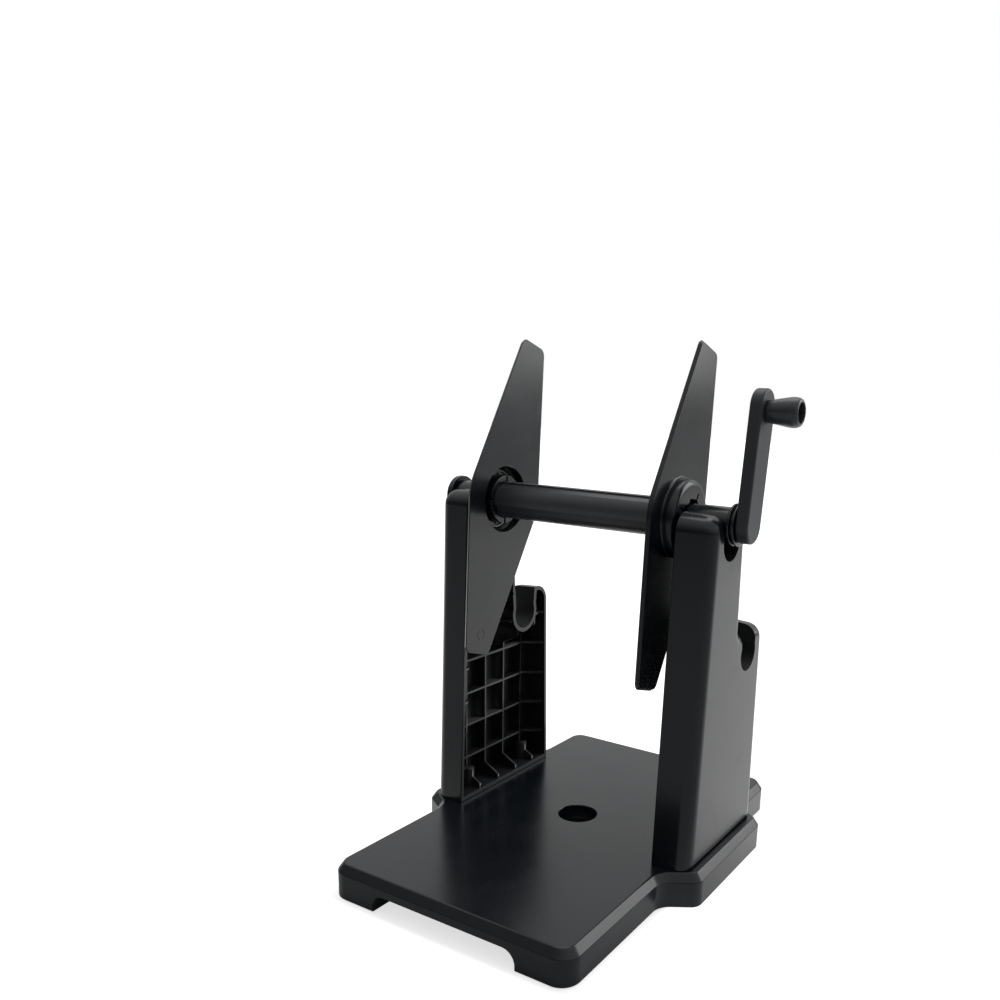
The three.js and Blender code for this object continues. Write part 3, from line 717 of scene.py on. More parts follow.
class Effects:
    """Shader node groups that several finishes share."""

    def __init__(self) -> None:
        """Builds each group once."""
        self.edges = self._edges_group()
        self.grain = self._grain_group()
        self.handling = self._handling_group()

    @staticmethod
    def _edges_group() -> Tree:
        """Rounds the look of edges and puts out where they are, the mask of a painted edge highlight.

        Returns:
            The group.
        """
        graph, given = new_group("edge_rounding_and_highlight", "ShaderNodeTree", [
            ("Radius", "NodeSocketFloat", 0.0005),
            ("Gain", "NodeSocketFloat", 3.0),
        ], [("Mask", "NodeSocketFloat"), ("Normal", "NodeSocketVector")])
        soft = graph.add("ShaderNodeBevel", {"Radius": given.outputs["Radius"]}, samples=6)
        shape = graph.add("ShaderNodeNewGeometry")
        likeness = graph.add("ShaderNodeVectorMath", {0: soft.outputs[0], 1: shape.outputs["Normal"]},
                             operation="DOT_PRODUCT").outputs["Value"]
        edge = graph.math("MULTIPLY", graph.math("SUBTRACT", 1.0, likeness), given.outputs["Gain"])
        bounded = graph.add("ShaderNodeClamp", {"Value": edge})
        graph.add("NodeGroupOutput", {"Mask": bounded.outputs[0], "Normal": soft.outputs[0]})
        return graph.tree

    @staticmethod
    def _grain_group() -> Tree:
        """The fine skin that a mould leaves, and slow changes of its gloss.

        Returns:
            The group.
        """
        graph, given = new_group("mould_grain", "ShaderNodeTree", [
            ("Grain Size", "NodeSocketFloat", 0.0004),
            ("Patch Size", "NodeSocketFloat", 0.03),
            ("Stretch", "NodeSocketVector", (1.0, 1.0, 1.0)),
        ], [("Height", "NodeSocketFloat"), ("Patches", "NodeSocketFloat")])
        place = graph.add("ShaderNodeTexCoord").outputs["Object"]
        stretched = graph.add("ShaderNodeVectorMath", {0: place, 1: given.outputs["Stretch"]},
                              operation="MULTIPLY").outputs[0]
        fine = graph.add("ShaderNodeTexNoise", {
            "Vector": stretched,
            "Scale": graph.math("DIVIDE", 1.0, given.outputs["Grain Size"]),
            "Detail": 3.0,
            "Roughness": 0.6,
        })
        slow = graph.add("ShaderNodeTexNoise", {
            "Vector": stretched,
            "Scale": graph.math("DIVIDE", 1.0, given.outputs["Patch Size"]),
            "Detail": 4.0,
            "Roughness": 0.55,
        })
        graph.add("NodeGroupOutput", {"Height": fine.outputs[0], "Patches": slow.outputs[0]})
        return graph.tree

    @staticmethod
    def _handling_group() -> Tree:
        """Hair-thin marks of handling, and specks of dust on what faces up.

        Returns:
            The group.
        """
        graph, given = new_group("handling", "ShaderNodeTree", [
            ("Speck Size", "NodeSocketFloat", 0.004),
            ("Speck Share", "NodeSocketFloat", 0.02),
        ], [("Specks", "NodeSocketFloat"), ("Scuffs", "NodeSocketFloat")])
        streaks_per_metre, scuff_limits = (900.0, 60.0, 60.0), (0.62, 0.78)
        place = graph.add("ShaderNodeTexCoord").outputs["Object"]
        cells = graph.add("ShaderNodeTexVoronoi", {
            "Vector": place,
            "Scale": graph.math("DIVIDE", 1.0, given.outputs["Speck Size"]),
        })
        near = graph.math("LESS_THAN", cells.outputs["Distance"], given.outputs["Speck Share"])
        shape = graph.add("ShaderNodeSeparateXYZ", {0: graph.add("ShaderNodeNewGeometry").outputs["Normal"]})
        upward = graph.math("MAXIMUM", shape.outputs["Z"], 0.0)
        streaks = graph.add("ShaderNodeTexNoise", {
            "Vector": graph.add("ShaderNodeVectorMath", {0: place, 1: streaks_per_metre},
                                operation="MULTIPLY").outputs[0],
            "Scale": 1.0,
            "Detail": 2.0,
        })
        graph.add("NodeGroupOutput", {
            "Specks": graph.math("MULTIPLY", near, upward),
            "Scuffs": graph.ramp(streaks.outputs[0], scuff_limits),
        })
        return graph.tree


@dataclass(frozen=True)
class Finish:
    """One material: a colour, its gloss and how its surface varies."""

    name: str
    slot: Slot
    colour: Triple
    # edge_highlight_colour and edge_highlight_share: a lighter colour along edges, a painted edge highlight
    edge_highlight_colour: Triple
    roughness: float
    roughness_spread: float
    grain_size: float
    grain_depth: float
    patch_size: float = 0.03
    stretch: Triple = (1.0, 1.0, 1.0)
    metallic: float = 0.0
    specular: float = 0.5
    edge_radius: float = 0.0005
    edge_highlight_share: float = 0.5
    shade_patches: Pair = (0.25, 0.75)
    shade_spread: Pair = (0.9, 1.12)
    gloss_patches: Pair = (0.3, 0.7)
    scuff_roughness: float = 0.05
    dust: float = 0.0
    dust_colour: Triple = (0.35, 0.35, 0.34)
    core_roughness: float = 0.0
    # How much the marked inside faces are darkened: painted shade.
    core_painted_shade: float = 0.5

    def build(self, effects: Effects) -> bpy.types.Material:
        """Makes the material.

        Args:
            effects: the shared node groups.

        Returns:
            The material.
        """
        material = bpy.data.materials.new(self.name)
        graph = cleared(material)
        edges = graph.add("ShaderNodeGroup", {"Radius": self.edge_radius}, node_tree=effects.edges)
        grain = graph.add("ShaderNodeGroup", {
            "Grain Size": self.grain_size,
            "Patch Size": self.patch_size,
            "Stretch": self.stretch,
        }, node_tree=effects.grain)
        handling = graph.add("ShaderNodeGroup", node_tree=effects.handling)
        patches = grain.outputs["Patches"]
        # Painted edge highlight: a lighter colour mixed in along the edges.
        painted_edge_highlight = graph.math("MULTIPLY", edges.outputs["Mask"], self.edge_highlight_share)
        tone = graph.mix(painted_edge_highlight, (*self.colour, 1.0), (*self.edge_highlight_colour, 1.0))
        varied = graph.scaled(tone, graph.ramp(patches, self.shade_patches, self.shade_spread))
        specks = graph.math("MULTIPLY", handling.outputs["Specks"], self.dust)
        colour = graph.mix(specks, varied, (*self.dust_colour, 1.0))
        spread = (self.roughness - self.roughness_spread, self.roughness + self.roughness_spread)
        gloss = graph.ramp(patches, self.gloss_patches, spread)
        roughness = graph.math("MULTIPLY_ADD", handling.outputs["Scuffs"], self.scuff_roughness, gloss)
        if self.core_roughness:
            core = graph.add("ShaderNodeAttribute", attribute_name="core").outputs["Fac"]
            roughness = graph.math("MULTIPLY_ADD", core, self.core_roughness, roughness)
            # Painted shade: the marked inside faces are darkened.
            colour = graph.scaled(colour, graph.math("MULTIPLY_ADD", core, -self.core_painted_shade, 1.0))
        bump = graph.add("ShaderNodeBump", {
            "Height": grain.outputs["Height"],
            "Distance": self.grain_depth,
            "Strength": 1.0,
            "Normal": edges.outputs["Normal"],
        })
        shader = graph.add("ShaderNodeBsdfPrincipled", {
            "Base Color": colour,
            "Roughness": roughness,
            "Metallic": self.metallic,
            "Specular IOR Level": self.specular,
            "Normal": bump.outputs[0],
        })
        graph.add("ShaderNodeOutputMaterial", {"Surface": shader.outputs[0]})
        return material


MOULDED_BLACK = Finish(
    name="moulded_black", slot=Slot.BLACK_PLASTIC, colour=(0.0032, 0.0048, 0.0072),
    edge_highlight_colour=(0.09, 0.092, 0.096), roughness=0.23, roughness_spread=0.03, grain_size=0.0005,
    grain_depth=0.000005, specular=0.42, edge_radius=0.00025, edge_highlight_share=0.5, dust=0.3,
    core_roughness=0.4,
)
SATIN_BLACK = Finish(
    name="satin_black", slot=Slot.BLACK_PLASTIC, colour=(0.03, 0.033, 0.037),
    edge_highlight_colour=(0.12, 0.122, 0.126), roughness=0.42, roughness_spread=0.05, grain_size=0.0006,
    grain_depth=0.000006, specular=0.3, edge_highlight_share=0.6,
)
SMOOTH_BLACK = Finish(
    name="smooth_black", slot=Slot.SMOOTH_PLASTIC, colour=(0.0035, 0.0048, 0.007),
    edge_highlight_colour=(0.03, 0.031, 0.034), roughness=0.2, roughness_spread=0.03, grain_size=0.0012,
    grain_depth=0.000004,
)
TUBE_BLACK = Finish(
    name="tube_black", slot=Slot.SMOOTH_PLASTIC, colour=(0.034, 0.036, 0.04),
    edge_highlight_colour=(0.07, 0.072, 0.077), roughness=0.4, roughness_spread=0.05, grain_size=0.0015,
    grain_depth=0.000008, patch_size=0.006, stretch=(0.06, 1.0, 1.0), specular=0.5,
)
GRIP_BLACK = Finish(
    name="grip_black", slot=Slot.SMOOTH_PLASTIC, colour=(0.026, 0.029, 0.033),
    edge_highlight_colour=(0.06, 0.062, 0.066), roughness=0.34, roughness_spread=0.06, grain_size=0.0009,
    grain_depth=0.00001, patch_size=0.004, specular=0.45,
)
SOFT_RUBBER = Finish(
    name="soft_rubber", slot=Slot.RUBBER, colour=(0.02, 0.02, 0.02),
    edge_highlight_colour=(0.04, 0.04, 0.04), roughness=0.85, roughness_spread=0.06, grain_size=0.0003,
    grain_depth=0.00002, specular=0.3,
)
TURNED_STEEL = Finish(
    name="turned_steel", slot=Slot.STEEL, colour=(0.55, 0.55, 0.56),
    edge_highlight_colour=(0.75, 0.75, 0.76), roughness=0.32, roughness_spread=0.06, grain_size=0.0004,
    grain_depth=0.000006, metallic=1.0, edge_radius=0.0002,
)
BLACKENED_STEEL = Finish(
    name="blackened_steel", slot=Slot.BLACK_STEEL, colour=(0.06, 0.06, 0.063),
    edge_highlight_colour=(0.3, 0.3, 0.31), roughness=0.34, roughness_spread=0.06, grain_size=0.0004,
    grain_depth=0.000006, metallic=1.0, edge_radius=0.0002,
)


class Wardrobe:
    """Every material, built once, and the way that a piece is dressed and reported."""

    def __init__(self) -> None:
        """Builds the effects and the materials."""
        effects = Effects()
        finishes = (MOULDED_BLACK, SATIN_BLACK, SMOOTH_BLACK, TUBE_BLACK, GRIP_BLACK, SOFT_RUBBER,
                    TURNED_STEEL, BLACKENED_STEEL)
        self.materials = {finish.name: finish.build(effects) for finish in finishes}

    def dress(self, thing: Body, finish: Finish) -> None:
        """Puts one finish on the whole of a mesh.

        Args:
            thing: the mesh's object.
            finish: the finish.
        """
        thing.data.materials.clear()
        thing.data.materials.append(self.materials[finish.name])
        thing.data.polygons.foreach_set("material_index", [0] * len(thing.data.polygons))

    def stand_in(self, thing: Body, finish: Finish, body: str, *nodes: str) -> None:
        """Dresses a finished piece, sets it on its body and hides the nodes that it stands for.

        Args:
            thing: the finished piece.
            finish: its finish.
            body: the body that it rides on.
            nodes: the nodes that it replaces.
        """
        self.dress(thing, finish)
        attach(thing, body)
        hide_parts(*nodes)
        LOG.info("%s: %d faces, on %s", thing.name, len(thing.data.polygons), body)


# The object's own places, read from the frame


@dataclass(frozen=True)
class Datum:
    """Places that several pieces share, in metres."""

    middle_x: float
    spindle_y: float
    spindle_z: float
    crank_lean: float

    @classmethod
    def read(cls) -> "Datum":
        """Works the places out from the frame's boxes.

        Returns:
            The places.
        """
        base_low, base_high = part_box("base_plate")
        bush_low, bush_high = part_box("left_bush")
        knob_low, knob_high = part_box("crank_knob")
        spindle = (bush_low + bush_high) / 2
        arm = (knob_low + knob_high) / 2 - spindle
        return cls(
            middle_x=(base_low.x + base_high.x) / 2,
            spindle_y=spindle.y,
            spindle_z=spindle.z,
            crank_lean=math.atan2(arm.y, arm.z),
        )

    def on_spindle(self, lean: float) -> Matrix:
        """The place of what is built about the X axis and leans back from upright."""
        place = Matrix.Translation((self.middle_x, self.spindle_y, self.spindle_z))
        return place @ Matrix.Rotation(-lean, 4, "X")

    def beside_middle(self) -> Matrix:
        """The place of what is built about the base's middle."""
        return Matrix.Translation((self.middle_x, 0.0, 0.0))


@dataclass
class SubAssembly:
    """What every sub-assembly is built with, and what it does with a node or a piece."""

    datum: Datum
    pattern: Pattern
    wardrobe: Wardrobe

    def extent(self, node: str) -> Pair:
        """A node's two ends along X, from the base's middle."""
        low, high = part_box(node)
        return low.x - self.datum.middle_x, high.x - self.datum.middle_x

    def radius(self, node: str) -> float:
        """Half of a node's height."""
        low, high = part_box(node)
        return (high.z - low.z) / 2

    def set_out(self, name: str, piece: Body, middle_y: float, spread: Pair, finish: Finish,
                stem: str) -> None:
        """Sets a piece out at four corners and stands it in for four nodes.

        Args:
            name: the finished mesh's name.
            piece: the piece, used up.
            middle_y: the middle of the four places along Y.
            spread: the distances between them along X and Y.
            finish: the finish.
            stem: what the four nodes' names begin with.
        """
        copies = self.pattern.grown(name, self.pattern.corners, {
            "Piece": piece,
            "Centre": (self.datum.middle_x, middle_y, 0.0),
            "Spread X": spread[0],
            "Spread Y": spread[1],
            "Material": self.wardrobe.materials[finish.name],
        })
        removed([piece])
        nodes = [f"{stem}_{end}_{side}" for end in ("front", "rear") for side in ("left", "right")]
        self.wardrobe.stand_in(smoothed(copies), finish, "root", *nodes)


@dataclass
class Base(SubAssembly):
    """The moulded base: an inverted tray with an ear on each side, and its rubber feet."""

    screw_places: Sequence[Pair]
    width: float = 0.160
    depth: float = 0.255
    wall_bottom: float = 0.0004
    wall_top: float = 0.0158
    top: float = 0.0206
    chamfer: float = 0.0035
    foot_turn: float = 0.0006
    wall_turn: float = 0.0011
    deck_turn: float = 0.0014
    corner_radius: float = 0.011
    skin: float = 0.0026
    rib_thickness: float = 0.002
    rib_bottom: float = 0.0125
    rib_pitch_y: float = 0.062
    long_rib_count: int = 3
    cross_rib_count: int = 4
    arch_width: float = 0.096
    arch_height: float = 0.0114
    arch_radius: float = 0.008
    cheek_wall: float = 0.0026
    cheek_depth: float = 0.026
    hole_radius: float = 0.012
    hole_chamfer: float = 0.0008
    sleeve_wall: float = 0.002
    ear_reach: float = 0.019
    ear_straight: float = 0.081
    ear_middle_y: float = 0.0225
    ear_shoulder_angle: float = math.radians(58)
    ear_root_radius: float = 0.012
    ear_tip_radius: float = 0.008
    screw_post_radius: float = 0.0054
    screw_post_bottom: float = 0.009
    screw_head_hole_radius: float = 0.0033
    screw_hole_radius: float = 0.0018
    screw_seat: float = 0.002
    foot_radius: float = 0.008
    foot_recess: float = 0.0024
    foot_edge: float = 0.0008
    foot_seat_edge: float = 0.0002
    foot_post_wall: float = 0.0016
    foot_inset: float = 0.016

    @property
    def ceiling(self) -> float:
        """The height of the deck's underside."""
        return self.top - self.skin

    @property
    def cheek_x(self) -> float:
        """The middle of the walls beside the arches, which the ribs carry on."""
        return (self.arch_width + self.cheek_wall) / 2

    @property
    def foot_spread(self) -> Pair:
        """The distances between the feet along X and Y."""
        return self.width - 2 * self.foot_inset, self.depth - 2 * self.foot_inset

    @property
    def foot_places(self) -> list[Pair]:
        """The middles of the four feet."""
        spread_x, spread_y = self.foot_spread
        return [(i * spread_x / 2, k * spread_y / 2) for i in (-1, 1) for k in (-1, 1)]

    def outline(self, inset: float) -> Outline:
        """The plan outline at an inset.

        Args:
            inset: how far the outline moves inwards.

        Returns:
            The outline, counter-clockwise.
        """
        x, y = self.width / 2, self.depth / 2
        slant = math.tan(self.ear_shoulder_angle)
        tip_reach = self.ear_straight / 2 + self.ear_tip_radius * math.tan(self.ear_shoulder_angle / 2)
        front_tip, rear_tip = self.ear_middle_y - tip_reach, self.ear_middle_y + tip_reach
        run = self.ear_reach / slant
        outer = x + self.ear_reach
        right = [
            (x, -y, self.corner_radius),
            (x, front_tip - run, self.ear_root_radius),
            (outer, front_tip, self.ear_tip_radius),
            (outer, rear_tip, self.ear_tip_radius),
            (x, rear_tip + run, self.ear_root_radius),
            (x, y, self.corner_radius),
        ]
        left = [(-u, v, radius) for u, v, radius in reversed(right)]
        return rounded_outline(right + left, inset)

    def shell(self) -> Body:
        """The solid outside, with soft turns where the wall, the chamfer and the deck meet.

        Returns:
            The closed body.
        """
        profile = soft_profile([
            (self.foot_turn, self.wall_bottom, 0.0),
            (0.0, self.wall_bottom + self.foot_turn, self.foot_turn),
            (0.0, self.wall_top, self.wall_turn),
            (self.chamfer, self.top, self.deck_turn),
            (self.chamfer + 3 * CUT_SPARE, self.top, 0.0),
        ])
        return loft("base", [(z, self.outline(inset)) for inset, z in profile], Axis.Z)

    def room(self) -> Body:
        """The hollow under the deck, less its ribs and posts.

        Returns:
            The closed body.
        """
        hollow = loft("room", [
            (self.wall_bottom - CUT_SPARE, self.outline(self.skin)),
            (self.wall_top - self.skin / 2, self.outline(self.skin)),
            (self.ceiling, self.outline(self.skin + self.chamfer / 2)),
        ], Axis.Z)
        rib_top = self.ceiling + CUT_SPARE
        middle_z = (self.rib_bottom + rib_top) / 2
        height = rib_top - self.rib_bottom
        long_ribs = self.pattern.grown("long_ribs", self.pattern.rows, {
            "Count": self.long_rib_count,
            "First": (-self.cheek_x, 0.0, middle_z),
            "Step": (self.cheek_x, 0.0, 0.0),
            "Size": (self.rib_thickness, self.depth, height),
        })
        cross_ribs = self.pattern.grown("cross_ribs", self.pattern.rows, {
            "Count": self.cross_rib_count,
            "First": (0.0, -(self.cross_rib_count - 1) / 2 * self.rib_pitch_y, middle_z),
            "Step": (0.0, self.rib_pitch_y, 0.0),
            "Size": (2 * (self.width / 2 + self.ear_reach), self.rib_thickness, height),
        })
        half = self.cheek_wall / 2
        cheeks = []
        for x, y in [(i * self.cheek_x, k * self.depth / 2) for i in (-1, 1) for k in (-1, 1)]:
            cheeks.append(block("cheek", (x - half, y - self.cheek_depth, self.wall_bottom),
                                (x + half, y + self.cheek_depth, self.top)))
        sleeve = rod("sleeve", self.hole_radius + self.sleeve_wall, self.arch_height, self.top, Axis.Z,
                     (0.0, self.datum.spindle_y))
        posts = [rod("post", self.screw_post_radius, self.screw_post_bottom, self.top, Axis.Z, place,
                     SMALL_TURN_STEPS) for place in self.screw_places]
        post_radius = self.foot_radius + TOUCHING_GAP + self.foot_post_wall
        posts += [rod("post", post_radius, 0.0, self.top, Axis.Z, place, SMALL_TURN_STEPS)
                  for place in self.foot_places]
        return carved(hollow, Cut.AWAY, [long_ribs, cross_ribs, *cheeks, sleeve, *posts])

    def arch(self) -> Body:
        """The low arches through the front and rear walls.

        Returns:
            The closed body.
        """
        half = self.arch_width / 2
        outline = rounded_outline([
            (self.wall_bottom - self.arch_height, -half, UNSEEN_RADIUS),
            (self.arch_height, -half, self.arch_radius),
            (self.arch_height, half, self.arch_radius),
            (self.wall_bottom - self.arch_height, half, UNSEEN_RADIUS),
        ])
        return prism("arch", outline, -self.depth, self.depth, Axis.Y)

    def middle_hole(self) -> Body:
        """The chamfered hole in the deck.

        Returns:
            The closed body.
        """
        reach, low_share, out_share = self.hole_chamfer, 0.2, 0.45
        return turned("hole", [
            (self.wall_bottom, 0.0),
            (self.wall_bottom, self.hole_radius),
            (self.top - reach, self.hole_radius),
            (self.top - low_share * reach, self.hole_radius + out_share * reach),
            (self.top + reach, self.hole_radius + 2 * reach),
            (self.top + reach, 0.0),
        ], Axis.Z, (0.0, self.datum.spindle_y))

    def screw_hole(self, place: Pair) -> Body:
        """A stepped hole from below for one screw.

        Args:
            place: where the screw stands.

        Returns:
            The closed body.
        """
        seat = self.ceiling - self.screw_seat
        return turned("screw_hole", [
            (0.0, 0.0),
            (0.0, self.screw_head_hole_radius),
            (seat, self.screw_head_hole_radius),
            (seat, self.screw_hole_radius),
            (self.top + CUT_SPARE, self.screw_hole_radius),
            (self.top + CUT_SPARE, 0.0),
        ], Axis.Z, place, SMALL_TURN_STEPS)

    def build(self) -> None:
        """Makes the base and its feet."""
        sockets = [rod("socket", self.foot_radius + TOUCHING_GAP, 0.0, self.wall_bottom + self.foot_recess,
                       Axis.Z, place, SMALL_TURN_STEPS) for place in self.foot_places]
        holes = [self.screw_hole(place) for place in self.screw_places]
        body = carved(self.shell(), Cut.AWAY, [
            self.room(), self.arch(), self.middle_hole(), *holes, *sockets,
        ])
        body.name = "moulded_base"
        body.data.transform(self.datum.beside_middle())
        self.wardrobe.stand_in(smoothed(body), MOULDED_BLACK, "root", "base_plate")
        self.build_feet()

    def build_feet(self) -> None:
        """Makes the four rubber feet."""
        top = self.wall_bottom + self.foot_recess - TOUCHING_GAP
        profile = soft_profile([
            (0.0, 0.0, 0.0),
            (0.0, self.foot_radius, self.foot_edge),
            (top, self.foot_radius, self.foot_seat_edge),
            (top, 0.0, 0.0),
        ])
        foot = turned("foot", profile, Axis.Z, steps=SMALL_TURN_STEPS)
        self.set_out("rubber_feet", foot, 0.0, self.foot_spread, SOFT_RUBBER, "rubber_foot")


@dataclass(frozen=True)
class Notch:
    """An open notch: a round seat, a pinched throat and a flared mouth."""

    middle_y: float
    top_z: float
    seat_radius: float = 0.0107
    overrun: float = math.radians(18)
    throat_half_width: float = 0.0099
    throat_rise: float = 0.0042
    mouth_half_width: float = 0.011
    depth: float = 0.0248

    @property
    def seat_z(self) -> float:
        """The height of the seat's centre."""
        return self.top_z - self.depth + self.seat_radius

    def outline(self, top_z: float, grow: float) -> Outline:
        """The notch's outline, widened all round, up to a height.

        Args:
            top_z: where the outline is cut off.
            grow: how much wider it is all round.

        Returns:
            The outline, counter-clockwise.
        """
        steps = 3 * ARC_STEPS
        throat = (self.throat_half_width + grow, self.seat_z + self.throat_rise)
        mouth = (self.mouth_half_width + grow, top_z)
        radius = self.seat_radius + grow
        seat = []
        for k in range(steps + 1):
            angle = math.pi - self.overrun + (math.pi + 2 * self.overrun) * k / steps
            seat.append((self.middle_y + radius * math.cos(angle), self.seat_z + radius * math.sin(angle)))
        return [
            (self.middle_y - mouth[0], mouth[1]),
            (self.middle_y - throat[0], throat[1]),
            *seat,
            (self.middle_y + throat[0], throat[1]),
            (self.middle_y + mouth[0], mouth[1]),
        ]


@dataclass
class Upright(SubAssembly):
    """A hollow upright, open on its inner side, with a rib grid and two open notches."""

    inner_x: float = 0.0695
    thickness: float = 0.0224
    height: float = 0.198
    side_draft: float = 0.0015
    foot_front_y: float = -0.025
    foot_depth: float = 0.094
    draft: float = math.tan(math.radians(2))
    step_height: float = 0.128
    upper_rear_y: float = 0.0285
    corner_radius: float = 0.009
    step_radius: float = 0.003
    edge_radius: float = 0.008
    rim_radius: float = 0.0006
    foot_radius: float = 0.0023
    wall: float = 0.0026
    rib_thickness: float = 0.0014
    rib_setback: float = 0.012
    rib_first_y: float = -0.0059
    rib_pitch_y: float = 0.0197
    rib_rows_y: int = 4
    rib_first_height: float = 0.0216
    rib_pitch_z: float = 0.0221
    rib_rows_z: int = 7
    gusset_tab: float = 0.0032
    gusset_run: float = 0.0063
    gusset_setback: float = 0.0006
    notch_wall: float = 0.0026
    rear_notch_y: float = 0.0408
    saddle_thickness: float = 0.004
    boss_radius: float = 0.0044
    screw_hole_radius: float = 0.0018
    screw_reach: float = 0.012
    screw_head_radius: float = 0.003
    screw_head_height: float = 0.002
    screw_shank_radius: float = 0.0015
    screw_edge: float = 0.0005
    screw_seat_edge: float = 0.0002
    cross_reach: float = 0.0017
    cross_half_width: float = 0.0004
    cross_depth: float = 0.0011
    bottom: float = field(init=False, default=0.0)
    spindle: Pair = field(init=False, default=(0.0, 0.0))
    bush_radius: float = field(init=False, default=0.0)

    def __post_init__(self) -> None:
        """Takes the foot's height and the spindle's place from the frame."""
        self.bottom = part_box("right_side_panel")[0].z
        self.spindle = (self.datum.spindle_y, self.datum.spindle_z)
        low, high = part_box("right_bush")
        self.bush_radius = (high.y - low.y) / 2

    @property
    def outer_x(self) -> float:
        """Where the outer face is."""
        return self.inner_x + self.thickness

    @property
    def middle_x(self) -> float:
        """The middle of the thickness."""
        return self.inner_x + self.thickness / 2

    @property
    def top(self) -> float:
        """The height of the top."""
        return self.bottom + self.height

    @property
    def step_z(self) -> float:
        """The height of the rear step."""
        return self.bottom + self.step_height

    @property
    def notches(self) -> tuple[Notch, Notch]:
        """The upper notch and the rear one."""
        return Notch(self.spindle[0], self.top), Notch(self.rear_notch_y, self.step_z)

    @property
    def screw_rows(self) -> Pair:
        """The two places of the screws along Y."""
        return self.rib_first_y, self.rib_first_y + (self.rib_rows_y - 1) * self.rib_pitch_y

    @property
    def screw_places(self) -> list[Pair]:
        """All four screws, from the base's middle."""
        return [(side * self.middle_x, y) for side in (-1, 1) for y in self.screw_rows]

    def outline(self, inset: float) -> Outline:
        """The side outline at an inset, carried on below the foot.

        Args:
            inset: how far the outline moves inwards.

        Returns:
            The outline, counter-clockwise.
        """
        below = self.bottom - 3 * self.edge_radius
        front, rear = self.foot_front_y, self.foot_front_y + self.foot_depth
        return rounded_outline([
            (front + self.lean(below - self.bottom), below, UNSEEN_RADIUS),
            (rear - self.lean(below - self.bottom), below, UNSEEN_RADIUS),
            (rear - self.lean(self.step_height), self.step_z, self.corner_radius),
            (self.upper_rear_y, self.step_z, self.step_radius),
            (self.upper_rear_y - self.lean(self.top - self.step_z), self.top, self.corner_radius),
            (front + self.lean(self.height), self.top, self.corner_radius),
        ], inset)

    def lean(self, rise: float) -> float:
        """How far a drafted face leans in over a rise."""
        return self.draft * rise

    def section(self, level: float, inset: float) -> Section:
        """The outline at a level, which the side draft widens towards the open side."""
        outset = self.side_draft * (self.outer_x - level) / self.thickness
        return level, self.outline(inset - outset)

    def shell(self) -> Body:
        """The outside, rounded along its outer face and a little along that face's foot.

        Returns:
            The closed body.
        """
        rims = rim(self.inner_x, self.rim_radius, 1) + rim(self.outer_x, self.edge_radius, -1)
        body = loft("upright", [self.section(level, inset) for level, inset in rims], Axis.X)
        carved(body, Cut.WITHIN, [self.above(self.bottom)])
        radius = self.foot_radius
        corner = [(self.bottom + inset, level) for level, inset in rim(self.outer_x, radius, -1)]
        strip = [*corner, (self.bottom + radius, self.outer_x + CUT_SPARE),
                 (self.bottom - CUT_SPARE, self.outer_x + CUT_SPARE),
                 (self.bottom - CUT_SPARE, self.outer_x - radius)]
        return carved(body, Cut.AWAY, [prism("strip", strip, -CUT_REACH, CUT_REACH, Axis.Y)])

    def above(self, level: float) -> Body:
        """Everything above a level."""
        return block("above", (0.0, -CUT_REACH, level), (CUT_REACH, CUT_REACH, 2 * self.top))

    def hollow(self) -> Body:
        """The space inside the walls.

        Returns:
            The closed body.
        """
        turn = rim(self.outer_x - self.wall, self.edge_radius - self.wall, -1)
        sections = [self.section(self.inner_x - CUT_SPARE, self.wall)]
        sections += [self.section(level, self.wall + inset) for level, inset in turn]
        return carved(loft("hollow", sections, Axis.X), Cut.WITHIN, [self.above(self.bottom + self.wall)])

    def dip(self) -> Body:
        """The space over the ribs: it slopes in from the walls, which leaves the gussets.

        Returns:
            The closed body.
        """
        start = self.inner_x + self.gusset_setback
        end = self.inner_x + self.rib_setback
        near, far = self.wall + self.gusset_tab, self.wall + self.gusset_tab + self.gusset_run
        front = start - 2 * CUT_SPARE
        body = loft("dip", [self.section(front, near), self.section(start, near), self.section(end, far)],
                    Axis.X)
        foot = self.bottom + near
        slope_top = foot + self.gusset_run
        ramp = [(front, foot), (start, foot), (end, slope_top), (end + CUT_SPARE, slope_top),
                (end + CUT_SPARE, 2 * CUT_REACH), (front, 2 * CUT_REACH)]
        above = prism("above", [(z, x) for x, z in reversed(ramp)], -CUT_REACH, CUT_REACH, Axis.Y)
        carved(body, Cut.WITHIN, [above])
        keeps = []
        for notch in self.notches:
            lid = notch.top_z + 10 * CUT_SPARE
            narrow = notch.outline(lid, self.notch_wall + self.gusset_tab)
            wide = notch.outline(lid, self.notch_wall + self.gusset_tab + self.gusset_run)
            keeps.append(loft("keep", [
                (start - 3 * CUT_SPARE, narrow),
                (start, narrow),
                (end + 0.1 * CUT_SPARE, wide),
            ], Axis.X))
        return carved(body, Cut.AWAY, keeps)

    def ribs(self) -> Body:
        """The rib grid, with its gussets.

        Returns:
            The closed body.
        """
        start = self.inner_x + self.gusset_setback
        depth = self.outer_x - start
        middle_x = start + depth / 2
        upright = self.pattern.grown("upright_ribs", self.pattern.rows, {
            "Count": self.rib_rows_y,
            "First": (middle_x, self.rib_first_y, self.bottom + self.height / 2),
            "Step": (0.0, self.rib_pitch_y, 0.0),
            "Size": (depth, self.rib_thickness, self.height),
        })
        level = self.pattern.grown("level_ribs", self.pattern.rows, {
            "Count": self.rib_rows_z,
            "First": (middle_x, 0.0, self.bottom + self.rib_first_height),
            "Step": (0.0, 0.0, self.rib_pitch_z),
            "Size": (depth, 1.5 * CUT_REACH, self.rib_thickness),
        })
        grid = carved(upright, Cut.ONTO, [level])
        return carved(grid, Cut.AWAY, [self.dip()])

